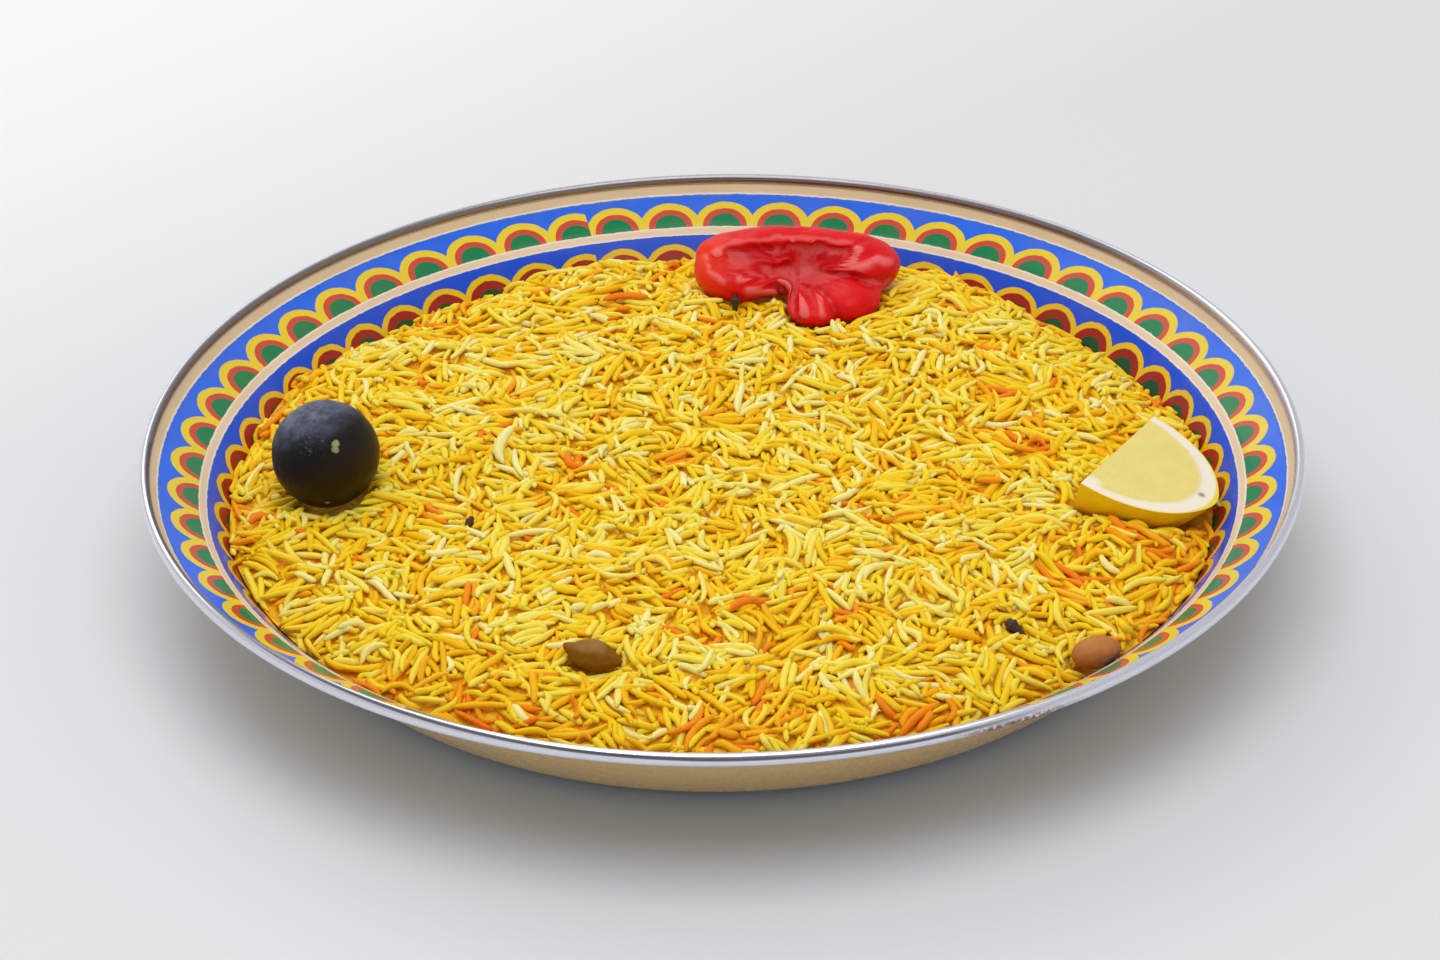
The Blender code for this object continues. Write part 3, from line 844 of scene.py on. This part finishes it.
def heap_height(x, y):
    """Height of the bare heap at places, and how far out its edge is there."""
    radius = np.hypot(x, y)
    edge = edge_height(np.degrees(np.arctan2(y, x)) % 360)
    reach = wall_radius(edge, GAP)
    inward = np.maximum(0.0, reach - radius)
    middle_share = 1 - np.exp(-inward / (2 * SHOULDER_REACH))
    base = EDGE_HEIGHT + (edge - EDGE_HEIGHT) * (1 - middle_share)
    height = base + SHOULDER_RISE * (1 - np.exp(-inward / SHOULDER_REACH))
    height += CROWN_RISE * (1 - np.minimum(1.0, radius / reach) ** 2)
    for direction, wavelength, rise, phase in WAVES:
        turn = math.radians(direction)
        along = x * math.cos(turn) + y * math.sin(turn)
        height += rise * np.sin(math.tau * along / wavelength + math.radians(phase)) * middle_share
    return height, reach


def cloud(x, y, size, seed):
    """Smooth random hills from about -1 to 1, as many waves run over each other."""
    rng = np.random.default_rng(seed)
    total = np.zeros_like(x)
    waves = 14
    for _ in range(waves):
        turn = rng.uniform(0, math.tau)
        length = size * rng.uniform(0.7, 1.7)
        along = x * math.cos(turn) + y * math.sin(turn)
        total += np.sin(math.tau * along / length + rng.uniform(0, math.tau))
    return total / math.sqrt(waves) / 1.4


class Field:
    """A map of heights over the dish, seen from above, on which grains come to rest."""

    def __init__(self, toppings):
        self.half = DISH_RADIUS
        self.size = int(2 * self.half / CELL)
        line = -self.half + (np.arange(self.size) + 0.5) * CELL
        self.x, self.y = np.meshgrid(line, line)
        radius = np.hypot(self.x, self.y)
        self.heap, self.reach = heap_height(self.x, self.y)
        self.limit = self.heap + GRAIN_LIMIT
        for size, rise in CLUMPS:
            self.limit += rise * cloud(self.x, self.y, size, int(size))
        self.limit -= EDGE_DIP * np.exp(-np.maximum(self.reach - radius, 0) / EDGE_PATCH)
        grain = GRAIN_WIDTH[1] / 2
        wall = sheet_path(SHEET + grain, bends=(20, 16, 8))
        wall_height = np.interp(radius, [p[0] for p in wall], [p[1] for p in wall]) - grain
        self.low = np.full_like(radius, np.inf)
        self.high = np.full_like(radius, -np.inf)
        for topping in toppings:
            self.mark_topping(topping)
        core = np.minimum(self.heap - CORE_DROP, self.low - grain)
        self.core = np.where(radius < self.reach - 1, core, 0)
        self.height = np.maximum(self.core, wall_height)
        self.inside = radius < self.reach

    def cells(self, x, y):
        """Row and column numbers of places."""
        column = np.clip(((x + self.half) / CELL).astype(int), 0, self.size - 1)
        row = np.clip(((y + self.half) / CELL).astype(int), 0, self.size - 1)
        return row, column

    def mark_topping(self, topping):
        """Note how low and how high a topping reaches over each cell."""
        bm = bmesh.new()
        bm.from_mesh(topping.data)
        bm.normal_update()
        for vert in bm.verts:
            vert.co += vert.normal * TOPPING_ROOM * MM
        tree = BVHTree.FromBMesh(bm)
        corners = [Vector(vert.co) for vert in bm.verts]
        bm.free()
        lowest = [min(c[i] for c in corners) / MM for i in range(2)]
        highest = [max(c[i] for c in corners) / MM for i in range(2)]
        rows, columns = self.cells(np.array([lowest[0], highest[0]]), np.array([lowest[1], highest[1]]))
        for row in range(rows[0], rows[1] + 1):
            for column in range(columns[0], columns[1] + 1):
                place = (self.x[row, column] * MM, self.y[row, column] * MM)
                below = tree.ray_cast(Vector((*place, 0)), Vector((0, 0, 1)))[0]
                if below is None:
                    continue
                above = tree.ray_cast(Vector((*place, 0.1)), Vector((0, 0, -1)))[0]
                self.low[row, column] = min(self.low[row, column], below.z / MM)
                self.high[row, column] = max(self.high[row, column], above.z / MM)


SHARES = np.linspace(-0.5, 0.5, 11)
MIDDLE = 5
LEFT = np.arange(0, MIDDLE)
RIGHT = np.arange(MIDDLE + 1, 11)


def settle(field, x, y, yaw, length, bend, give):
    """How a grain comes to rest at a place: its height there, its slope and the cells under it."""
    along = SHARES * length
    off = bend * (0.5 - (2 * SHARES) ** 2)
    px = x + math.cos(yaw) * along - math.sin(yaw) * off
    py = y + math.sin(yaw) * along + math.cos(yaw) * off
    cells = field.cells(px, py)
    ground = field.height[cells]
    run = along[RIGHT][None, :] - along[LEFT][:, None]
    slope = (ground[RIGHT][None, :] - ground[LEFT][:, None]) / run
    at_middle = ground[LEFT][:, None] - slope * along[LEFT][:, None]
    best = np.unravel_index(np.argmax(at_middle), at_middle.shape)
    rest = max(at_middle[best], ground[MIDDLE])
    rest -= give * (rest - ground.mean())
    return rest, slope[best], cells, np.hypot(px, py)


def lay_grains(field):
    """Drop grains one by one on the field until the heap is full; returns one row a grain.

    A row is place, turn, length, width, shape, tint and kind.
    """
    rng = np.random.default_rng(GRAIN_SEED)
    rows = []
    for attempt in range(GRAIN_TRIES):
        if attempt % TRIES_A_LOOK == 0:
            room = np.where(field.inside, field.limit - field.height, 0)
            open_cells = np.flatnonzero(room.ravel() > LEAST_ROOM)
            if len(open_cells) < FEWEST_CELLS:
                break
        cell = open_cells[rng.integers(len(open_cells))]
        x = field.x.flat[cell] + rng.uniform(-0.5, 0.5) * CELL
        y = field.y.flat[cell] + rng.uniform(-0.5, 0.5) * CELL
        length = rng.uniform(*GRAIN_LENGTH)
        filler = attempt > LONG_TRIES
        give = FILLER_GIVE if filler else GRAIN_GIVE
        if filler or rng.random() < SHORT_CHANCE:
            length *= rng.uniform(*SHORT_SHARES)
        width = rng.uniform(*GRAIN_WIDTH)
        shape = int(rng.integers(len(BENDS)))
        roll = rng.normal(0, 0.5)
        tint, kind = rng.random(2)
        spread = LEAN_SPREAD if rng.random() > LOOSE_CHANCE else LOOSE_SPREAD
        lean = rng.normal(0, spread)
        bend = BENDS[shape][0] * BEND_RATIO * width * math.cos(roll)
        yaws = rng.uniform(0, math.tau, YAW_CHOICES)
        found = [settle(field, x, y, yaw, length, bend, give) for yaw in yaws]
        pick = min(range(YAW_CHOICES), key=lambda k: found[k][0])
        yaw = yaws[pick]
        rest, slope, cells, radius = found[pick]
        if not field.inside[cells].all() and rng.random() > OVER_EDGE_CHANCE:
            continue
        if radius.max() > field.reach[cells].min() + OVER_EDGE_REACH:
            continue
        tilt = math.atan(slope) + lean
        if abs(tilt) > STEEPEST:
            continue
        z = rest + width / 2 - GRAIN_SINK + abs(lean) * length * LEAN_LIFT
        heights = z + SHARES * length * math.tan(tilt)
        limit = field.limit[cells]
        if (heights > limit + LIMIT_SLACK).any() or z > limit[MIDDLE]:
            continue
        low, high = field.low[cells], field.high[cells]
        if ((heights + width / 2 > low) & (heights - width / 2 < high)).any():
            continue
        if (low < np.inf).sum() > MOST_UNDER:
            continue
        press(field, x, y, z, yaw, tilt, length, width, bend)
        rows.append((x, y, z, roll, -tilt, yaw, length, width, shape, tint, kind))
    rows = np.array(rows)
    x, y, z = rows[:, :3].T
    depth = field.heap[field.cells(x, y)] + DEPTH_START - z
    patches = cloud(x, y, 34, 3) * CLOUD_RISE + cloud(x, y, 13, 5) * CLOUD_RISE + LEAST_DEEPNESS
    # patches deepen the grains' colour: painted shadow under the lime and in front of the lemon, and tone
    # elsewhere
    for middle_x, middle_y, reach in DEEP_TONE_AND_SHADOW_PATCHES:
        patches += PATCH_RISE * np.exp(-((x - middle_x) ** 2 + (y - middle_y) ** 2) / reach ** 2)
    from_edge = field.reach[field.cells(x, y)] - np.hypot(x, y)
    patches += EDGE_RISE * np.exp(-from_edge / EDGE_PATCH)
    rows[:, 10] = np.clip(rows[:, 10] * CHANCE_SHARE + depth * DEPTH_SHARE + patches, 0, 1)
    placed = []
    for x, y, lift, yaw, slope, length, width, depth in PLACED_GRAINS:
        z = field.height[field.cells(np.array(x), np.array(y))] + lift
        turn = (0, -math.radians(slope), math.radians(yaw))
        tint = max(2 * depth - 1, 0)
        placed.append((x, y, z, *turn, length, width, PLACED_SHAPE, tint, depth))
    return np.vstack([rows, placed])


def press(field, x, y, z, yaw, tilt, length, width, bend):
    """Raise the field to the top of a grain that has come to rest."""
    reach = length / 2 + 1
    rows, columns = field.cells(np.array([x - reach, x + reach]), np.array([y - reach, y + reach]))
    window = (slice(rows[0], rows[1] + 1), slice(columns[0], columns[1] + 1))
    dx = field.x[window] - x
    dy = field.y[window] - y
    along = dx * math.cos(yaw) + dy * math.sin(yaw)
    across = dy * math.cos(yaw) - dx * math.sin(yaw)
    half = length / 2 * math.cos(tilt)
    share = np.clip(along / half, -1, 1)
    across = across - bend * (0.5 - share ** 2)
    radius = width / 2 * (1 - 0.5 * share ** 6)
    under = (np.abs(across) < radius) & (np.abs(along) < half)
    top = z + along * math.tan(tilt) + np.sqrt(np.maximum(radius ** 2 - across ** 2, 0)) * 0.9
    field.height[window] = np.where(under, np.maximum(field.height[window], top), field.height[window])


def make_shapes():
    """Grains of unit size, one for each way they bend, in a collection of their own."""
    shapes = bpy.data.collections.new("grain_shapes")
    bpy.context.scene.collection.children.link(shapes)
    for index, (bend, snake) in enumerate(BENDS):
        bm = bmesh.new()
        loops = []
        for share, girth in GRAIN_RINGS:
            loop = []
            off = BEND_RATIO * (bend * (0.5 - share ** 2) + snake * (share ** 3 - share))
            for k in range(GRAIN_SIDES):
                turn = math.tau * (k + 0.5) / GRAIN_SIDES
                y = girth * 0.5 * math.cos(turn) + off
                z = girth * 0.5 * math.sin(turn) * GRAIN_FLATNESS
                loop.append(bm.verts.new((share / 2, y, z)))
            loops.append(loop)
        start, end = ([bm.verts.new((share / 2, -bend * BEND_RATIO / 2, 0))] for share in (-1, 1))
        join_rings(bm, [start, *loops, end])
        mesh = mesh_of(bm, f"grain_{index}")
        mesh.shade_smooth()
        shapes.objects.link(bpy.data.objects.new(mesh.name, mesh))
    return shapes


def grain_tree():
    """Geometry Nodes: a grain on each point, stretched and turned, made real and painted."""
    tree = bpy.data.node_groups.new("scattered_grains", "GeometryNodeTree")
    kinds = {"Points": "Geometry", "Shapes": "Collection", "Seed": "Int", "Uneven": "Float",
             "Material": "Material"}
    for name, kind in kinds.items():
        tree.interface.new_socket(name, in_out="INPUT", socket_type="NodeSocket" + kind)
    tree.interface.new_socket("Grains", in_out="OUTPUT", socket_type="NodeSocketGeometry")

    def add(kind, inputs, **settings):
        """Add a node with its settings, and the wires or values of its inputs."""
        node = tree.nodes.new(kind)
        for setting, value in settings.items():
            setattr(node, setting, value)
        for name, value in inputs.items():
            if isinstance(value, bpy.types.NodeSocket):
                tree.links.new(value, node.inputs[name])
            else:
                node.inputs[name].default_value = value
        return node.outputs[0]

    def attribute(name, kind):
        return add("GeometryNodeInputNamedAttribute", {"Name": name}, data_type=kind)

    given = tree.nodes.new("NodeGroupInput").outputs
    shapes = add("GeometryNodeCollectionInfo", {
        "Collection": given["Shapes"], "Separate Children": True, "Reset Children": True})
    placed = add("GeometryNodeInstanceOnPoints", {
        "Points": given["Points"], "Instance": shapes, "Pick Instance": True,
        "Instance Index": attribute("shape", "INT"), "Rotation": attribute("turn", "FLOAT_VECTOR"),
        "Scale": attribute("stretch", "FLOAT_VECTOR")})
    real = add("GeometryNodeRealizeInstances", {0: placed})
    uneven = add("FunctionNodeRandomValue", {"Seed": given["Seed"]}, data_type="FLOAT_VECTOR")
    centred = add("ShaderNodeVectorMath", {0: uneven, 1: (0.5, 0.5, 0.5)}, operation="SUBTRACT")
    push = add("ShaderNodeVectorMath", {0: centred, "Scale": given["Uneven"]}, operation="SCALE")
    moved = add("GeometryNodeSetPosition", {"Geometry": real, "Offset": push})
    painted = add("GeometryNodeSetMaterial", {"Geometry": moved, "Material": given["Material"]})
    tree.links.new(painted, tree.nodes.new("NodeGroupOutput").inputs[0])
    return tree


def make_grains(name, rows, tree, shapes, material):
    """One kind of grain as one piece."""
    mesh = bpy.data.meshes.new(name)
    mesh.from_pydata((rows[:, 0:3] * MM).tolist(), [], [])
    columns = [
        ("turn", "FLOAT_VECTOR", "vector", rows[:, 3:6]),
        ("stretch", "FLOAT_VECTOR", "vector", rows[:, [6, 7, 7]] * MM),
        ("shape", "INT", "value", rows[:, 8].astype(int)),
        ("tint", "FLOAT", "value", rows[:, 9]),
    ]
    for title, kind, part, numbers in columns:
        mesh.attributes.new(title, kind, "POINT").data.foreach_set(part, numbers.ravel())
    piece = linked(name, mesh)
    grains = piece.modifiers.new("Grains", "NODES")
    grains.node_group = tree
    values = {
        "Shapes": shapes, "Seed": UNEVEN_SEED, "Uneven": UNEVEN * MM, "Material": material}
    for item in tree.interface.items_tree:
        if item.name in values:
            grains[item.identifier] = values[item.name]
    piece.update_tag()
    depsgraph = bpy.context.evaluated_depsgraph_get()
    made = bpy.data.meshes.new_from_object(piece.evaluated_get(depsgraph))
    piece.modifiers.clear()
    piece.data = made
    made.name = name
    for extra in ("turn", "stretch", "shape"):
        if extra in made.attributes:
            made.attributes.remove(made.attributes[extra])
    made.shade_smooth()
    stand_for(piece, "rice")


def blurred(values, cells):
    """Mean over a square of cells round each cell."""
    span = 2 * cells + 1
    for axis in (0, 1):
        widths = [(0, 0), (0, 0)]
        widths[axis] = (cells + 1, cells)
        total = np.cumsum(np.pad(values, widths, "edge"), axis)
        ahead = total.take(range(span, total.shape[axis]), axis)
        values = (ahead - total.take(range(total.shape[axis] - span), axis)) / span
    return values


def make_core(field):
    """The rice that fills the gaps: its top just below the grains' tops, its bottom on the dish."""
    top_of_grains = np.where(field.inside, field.height, field.heap)
    filled = blurred(blurred(top_of_grains, FILL_CELLS), FILL_CELLS) - FILL_DROP
    filled = np.where(field.core > 0, np.minimum(filled, field.low - 1), 0)
    bm = bmesh.new()
    spin = np.arange(CORE_TURNS) * math.tau / CORE_TURNS
    wall = sheet_path(SHEET + GAP, to_lip=False, bends=(6, 1, 1))[1:-1]
    edge = edge_height(np.degrees(spin))
    rings = []
    for radius, height in wall:
        rings.append([(radius * math.cos(t), radius * math.sin(t), height) for t in spin])
    top = edge - CORE_EDGE_DROP
    reach = wall_radius(top, GAP)
    rings.append([(r * math.cos(t), r * math.sin(t), z) for r, t, z in zip(reach, spin, top)])
    for share in np.linspace(*CORE_SHARES, CORE_RINGS):
        x, y = reach * share * np.cos(spin), reach * share * np.sin(spin)
        height = filled[field.cells(x, y)]
        height = np.where(height <= 0, top - 1.0, height)
        rings.append(list(zip(x, y, np.maximum(height, CORE_LEAST))))
    loops = [[bm.verts.new(point) for point in ring] for ring in rings]
    bm.faces.new(loops[0][::-1])
    bm.faces.new(loops[-1])
    join_rings(bm, loops)
    add_piece("rice_core", bm, [rice_shadow()], "rice")


# Toppings


def make_lime():
    """The dried lime: a ball with shallow dents and a crusty stem end."""
    bm = bmesh.new()
    bmesh.ops.create_icosphere(bm, subdivisions=6, radius=1.0)
    stem = Vector((-0.1, -0.72, 0.68)).normalized()
    for vert in bm.verts:
        ray = vert.co.normalized()
        dents = noise.noise(ray * 2.2) * 0.25 + noise.noise(ray * 6) * 0.07
        away = ray.angle(stem)
        crust = math.exp(-(away / 0.2) ** 2) * (0.3 * noise.noise(ray * 26) - 0.35)
        vert.co = ray * (LIME_RADIUS - 0.35 + dents + crust) + Vector(LIME_PLACE)
    return add_piece("dried_lime", bm, [lime_skin()], "black_lime", 0)


def pepper_levels(points):
    """The pepper's field at many points: less than zero inside it."""

    def level(middle, half):
        return np.sqrt((((points - np.array(middle)) / np.array(half)) ** 2).sum(axis=1))

    total = np.zeros(len(points))
    for middle, half in PEPPER_LOBES:
        total += np.exp((1 - level(middle, half)) * min(half) / PEPPER_BLEND)
    middle, half, depth = PEPPER_DENT
    return 1 - total * (1 - depth * np.exp(-level(middle, half) ** 2))


def make_pepper():
    """The soft pepper: lobes run into each other, with wrinkles in its skin."""
    bm = bmesh.new()
    bmesh.ops.create_icosphere(bm, subdivisions=6, radius=1.0)
    rays = np.array([vert.co.normalized() for vert in bm.verts])
    reach = np.full(len(rays), PEPPER_REACH)
    searching = np.ones(len(rays), bool)
    while searching.any():
        outside = pepper_levels(rays[searching] * reach[searching, None]) > 0
        found = np.flatnonzero(searching)[~outside]
        searching[found] = False
        reach[searching] -= 0.1
    for vert, ray, far in zip(bm.verts, rays, reach):
        point = Vector(ray) * float(far)
        wrinkle = noise.noise(point * 0.16) * 0.5 + noise.noise(point * 0.4) * 0.2
        vert.co = point * (1 + (wrinkle - 0.3) / max(6.0, far))
    bm.normal_update()
    places = np.array([vert.co for vert in bm.verts])
    slope = math.radians(PEPPER_SLOPE)
    outward = np.array((0, -math.cos(slope), math.sin(slope)))
    facing = np.clip(np.array([vert.normal for vert in bm.verts]) @ outward / 0.35, 0, 1)
    upward = places[:, 1] * math.sin(slope) + places[:, 2] * math.cos(slope)
    flat = np.stack([places[:, 0], upward], 1)
    flat += np.array([[noise.noise(Vector((*p, layer)) * 0.3) for layer in (0, 5)] for p in flat])
    rise = -HOLLOW_DEPTH * hollow_share(flat)
    for height, half_width, line in PEPPER_FOLDS:
        rise += height * np.exp(-(line_distance(flat, line) / half_width) ** 2)
    rise *= facing
    depth = bm.verts.layers.float.new("fold")
    for vert, lift in zip(bm.verts, rise):
        vert[depth] = float(lift)
        vert.co += Vector(outward) * float(lift)
    axes = {f"use_axis_{letter}": True for letter in "xyz"}
    bmesh.ops.smooth_vert(bm, verts=bm.verts, factor=0.5, **axes)
    bmesh.ops.translate(bm, vec=PEPPER_PLACE, verts=bm.verts)
    return add_piece("red_pepper_skin", bm, [pepper_skin()], "red_pepper", 0)


def line_distance(points, line):
    """Distance of flat points from a line of several stretches."""
    best = np.full(len(points), np.inf)
    for start, end in zip(line, line[1:]):
        start, end = np.array(start, float), np.array(end, float)
        share = np.clip(((points - start) @ (end - start)) / ((end - start) @ (end - start)), 0, 1)
        best = np.minimum(best, np.linalg.norm(points - start - share[:, None] * (end - start), axis=1))
    return best


def hollow_share(points):
    """0 outside the sunk middle's outline, rising to 1 inside it."""
    corners = PEPPER_HOLLOW
    inside = np.zeros(len(points), bool)
    for (ax, ay), (bx, by) in zip(corners, corners[1:] + corners[:1]):
        crosses = (ay > points[:, 1]) != (by > points[:, 1])
        at = ax + (points[:, 1] - ay) * (bx - ax) / ((by - ay) or 1e-9)
        inside ^= crosses & (points[:, 0] < at)
    share = np.clip(line_distance(points, corners + corners[:1]) / HOLLOW_SOFT, 0, 1) * inside
    return share * share * (3 - 2 * share)


def make_lemon():
    """The wedge: rind outside, pith and flesh on its two cuts."""
    axis = Vector(LEMON_AXIS).normalized()
    normal = Vector(LEMON_FACE_NORMAL).normalized()
    side = normal.cross(axis)
    face_place = Vector(LEMON_FACE_PLACE)
    middle = face_place + normal * LEMON_CUT_OFFSET
    bm = bmesh.new()
    bmesh.ops.create_uvsphere(bm, u_segments=96, v_segments=72, radius=1.0)
    for vert in bm.verts:
        x, y, z = vert.co
        length = z * LEMON_HALF_LENGTH + LEMON_TIP * max(0.0, z) ** 24
        vert.co = middle + axis * length + side * x * LEMON_HALF_WIDTH + normal * y * LEMON_HALF_DEPTH
    end_place = face_place + axis * LEMON_END_OFFSET
    for point, direction in ((face_place, normal), (end_place, side * LEMON_END_LEAN - axis)):
        cut = bmesh.ops.bisect_plane(bm, geom=bm.verts[:] + bm.edges[:] + bm.faces[:],
                                     plane_co=point, plane_no=direction, clear_outer=True)
        rim = [e for e in cut["geom_cut"] if isinstance(e, bmesh.types.BMEdge)]
        for face in bmesh.ops.holes_fill(bm, edges=rim)["faces"]:
            face.material_index = 1
    bmesh.ops.recalc_face_normals(bm, faces=bm.faces)
    frame_of = (middle, side, normal, axis)
    materials = [lemon_rind(*frame_of), lemon_flesh(*frame_of)]
    return add_piece("lemon_piece", bm, materials, "lemon_wedge")


def make_bean(name, size, place, turn, form, material, node):
    """An egg shaped piece along its own X axis: pointed at +X, with ridges and a stalk at -X."""
    point, ridges, stalk = form
    bm = bmesh.new()
    bmesh.ops.create_uvsphere(bm, u_segments=60, v_segments=36, radius=1.0)
    bmesh.ops.rotate(bm, matrix=Matrix.Rotation(math.radians(90), 3, "Y"), verts=bm.verts)
    for vert in bm.verts:
        x, y, z = vert.co
        narrowing = 1 - point * (max(0.0, x + 0.3) / 1.3) ** 2
        turn_round = math.atan2(z, y)
        swell = 1 - ridges * (0.5 + 0.5 * math.cos(turn_round * 7 + 2 * x + noise.noise(vert.co)))
        swell -= 0.03 * (1 + noise.noise(vert.co * 3))
        narrowing *= swell
        vert.co = Vector((x * size[0] / 2, y * size[1] / 2 * narrowing, z * size[2] / 2 * narrowing))
        end = max(0.0, -x - 0.88) / 0.12
        vert.co += Vector((-stalk, 0, stalk * 0.5)) * end
    turns = [Matrix.Rotation(math.radians(turn[i]), 3, "XYZ"[i]) for i in range(3)]
    bmesh.ops.rotate(bm, matrix=turns[2] @ turns[1] @ turns[0], verts=bm.verts)
    bmesh.ops.translate(bm, vec=place, verts=bm.verts)
    return add_piece(name, bm, [material], node, 0)


def make_cloves():
    """Three cloves: tapered stems with a rounded bud."""
    bm = bmesh.new()
    spins = [math.tau * k / CLOVE_SIDES for k in range(CLOVE_SIDES)]
    for x, y, length, width, lean, turn in CLOVES:
        loops = []
        for share, girth in CLOVE_RINGS:
            radius = width * girth
            ring = [(radius * math.cos(spin), radius * math.sin(spin), length * share) for spin in spins]
            loops.append([bm.verts.new(point) for point in ring])
        bm.faces.new(loops[0][::-1])
        bm.faces.new(loops[-1])
        join_rings(bm, loops)
        heap = float(heap_height(np.array([x]), np.array([y]))[0][0])
        place = Matrix.Translation((x, y, heap + length / 2 * math.sin(math.radians(lean))))
        upright = Matrix.Rotation(math.radians(90 - lean), 4, "Y")
        aim = Matrix.Rotation(math.radians(turn), 4, "Z") @ upright
        bmesh.ops.transform(bm, matrix=place @ aim, verts=[vert for loop in loops for vert in loop])
    add_piece("cloves", bm, [clove_bark()], "rice")


# Stage


def make_stage():
    """A plain pale floor with a painted pool of light toward the back left, bluer under the dish against
    the light that its tan underside throws.
    """
    paint = Paint("pale_floor", {"Roughness": 0.6})
    # painted light: the floor is paler toward the back left
    painted_light_pool = paint.along((-0.6, 0.8, 0)).over(330, 300)
    paint.base((0.725, 0.729, 0.733), (0.91, 0.914, 0.918), painted_light_pool)
    x, y, _ = paint.parts()
    radius = (x * x + y * y) ** 0.5
    paint.layer((0.65, 0.715, 0.785), 1 - radius.over(205, 100))
    paint.layer((0.48, 0.63, 0.9), 1 - radius.over(155, 60))
    bm = bmesh.new()
    bmesh.ops.create_grid(bm, x_segments=1, y_segments=1, size=6000)
    add_piece("floor", bm, [paint.finish()])


def make_camera():
    """A long lens about 30 degrees above the dish, rolled slightly, aimed as the photograph is."""
    place = (0, -1.1804, 0.7201)
    elevation = math.radians(29.93)
    roll = math.radians(-0.87)
    picture_width = 1440
    focal_pixels = 4512.3
    off_right, off_up = 1.7, 40.1
    sensor = 36
    right = Vector((1, 0, 0))
    up = Vector((0, math.sin(elevation), math.cos(elevation)))
    forward = Vector((0, math.cos(elevation), -math.sin(elevation)))
    image_right = right * math.cos(roll) + up * math.sin(roll)
    image_up = up * math.cos(roll) - right * math.sin(roll)
    forward = (forward * focal_pixels - image_right * off_right - image_up * off_up).normalized()
    image_up = (image_up - forward * image_up.dot(forward)).normalized()
    image_right = forward.cross(image_up)
    data = bpy.data.cameras.new("camera")
    data.lens = focal_pixels / picture_width * sensor
    data.sensor_width = sensor
    data.sensor_fit = "HORIZONTAL"
    data.clip_end = 20
    camera = linked("camera", data)
    axes = Matrix((image_right, image_up, -forward)).transposed().to_4x4()
    camera.matrix_world = Matrix.Translation(place) @ axes
    bpy.context.scene.camera = camera


def add_lamp(name, place, size, power):
    """A soft square lamp aimed at the dish. Place and size are in metres, power in watts."""
    data = bpy.data.lights.new(name, "AREA")
    data.size = size
    data.energy = power
    lamp = linked(name, data)
    lamp.location = place
    dish_middle = Vector((0, 0, 0.03))
    lamp.rotation_euler = (Vector(place) - dish_middle).to_track_quat("Z", "Y").to_euler()


def light_stage():
    """Soft pale surroundings, dark above the camera, and two large lamps."""
    world = bpy.data.worlds.new("surroundings")
    world.use_nodes = True
    nodes, links = world.node_tree.nodes, world.node_tree.links
    sky = nodes["Background"]
    sky.inputs["Color"].default_value = (1.0, 1.0, 1.0, 1)
    toward_dark = (0.0, -0.64, 0.77)
    dark = nodes.new("ShaderNodeVectorMath")
    dark.operation = "DOT_PRODUCT"
    dark.inputs[1].default_value = toward_dark
    links.new(nodes.new("ShaderNodeTexCoord").outputs["Generated"], dark.inputs[0])
    strength = nodes.new("ShaderNodeMapRange")
    for name, value in (("From Min", 0.86), ("From Max", 0.97), ("To Min", 0.6), ("To Max", 0.08)):
        strength.inputs[name].default_value = value
    links.new(dark.outputs["Value"], strength.inputs["Value"])
    links.new(strength.outputs[0], sky.inputs["Strength"])
    bpy.context.scene.world = world
    add_lamp("back_lamp", (-0.8, 1.5, 1.5), 1.4, 9)
    add_lamp("key_lamp", (0.0, -0.45, 2.1), 1.8, 24)
    bpy.context.scene.view_settings.view_transform = "Standard"


make_camera()
light_stage()
make_stage()
make_dish()
make_band()
toppings = [
    make_lime(),
    make_pepper(),
    make_lemon(),
    make_bean("cardamom", POD_SIZE, POD_PLACE, POD_TURN, POD_FORM, ridged_husk(),
              "cardamom_pod"),
    make_bean("almond_nut", ALMOND_SIZE, ALMOND_PLACE, ALMOND_TURN, ALMOND_FORM, nut_skin(),
              "almond"),
]
make_cloves()
rice_field = Field(toppings)
grain_rows = lay_grains(rice_field)
make_core(rice_field)
grain_shapes = make_shapes()
grain_group = grain_tree()
KINDS = [
    # name, share of the grains up to here, colours from pale to deep
    ("grains_pale", 0.28, [(0.93, 0.84, 0.34), (0.93, 0.79, 0.18), (0.93, 0.73, 0.07)]),
    ("grains_yellow", 0.56, [(0.93, 0.76, 0.1), (0.93, 0.69, 0.03), (0.93, 0.62, 0.008)]),
    ("grains_golden", 0.86, [(0.93, 0.66, 0.02), (0.93, 0.57, 0.006), (0.92, 0.48, 0.003)]),
    ("grains_amber", 1.01, [(0.93, 0.52, 0.01), (0.92, 0.38, 0.005), (0.9, 0.22, 0.005)]),
]
start = 0.0
for kind_name, end, tones in KINDS:
    chosen = grain_rows[(grain_rows[:, 10] >= start) & (grain_rows[:, 10] < end)]
    make_grains(kind_name, chosen, grain_group, grain_shapes, rice_grain(kind_name, tones))
    start = end
for grain_shape in list(grain_shapes.objects):
    bpy.data.objects.remove(grain_shape)
bpy.data.collections.remove(grain_shapes)
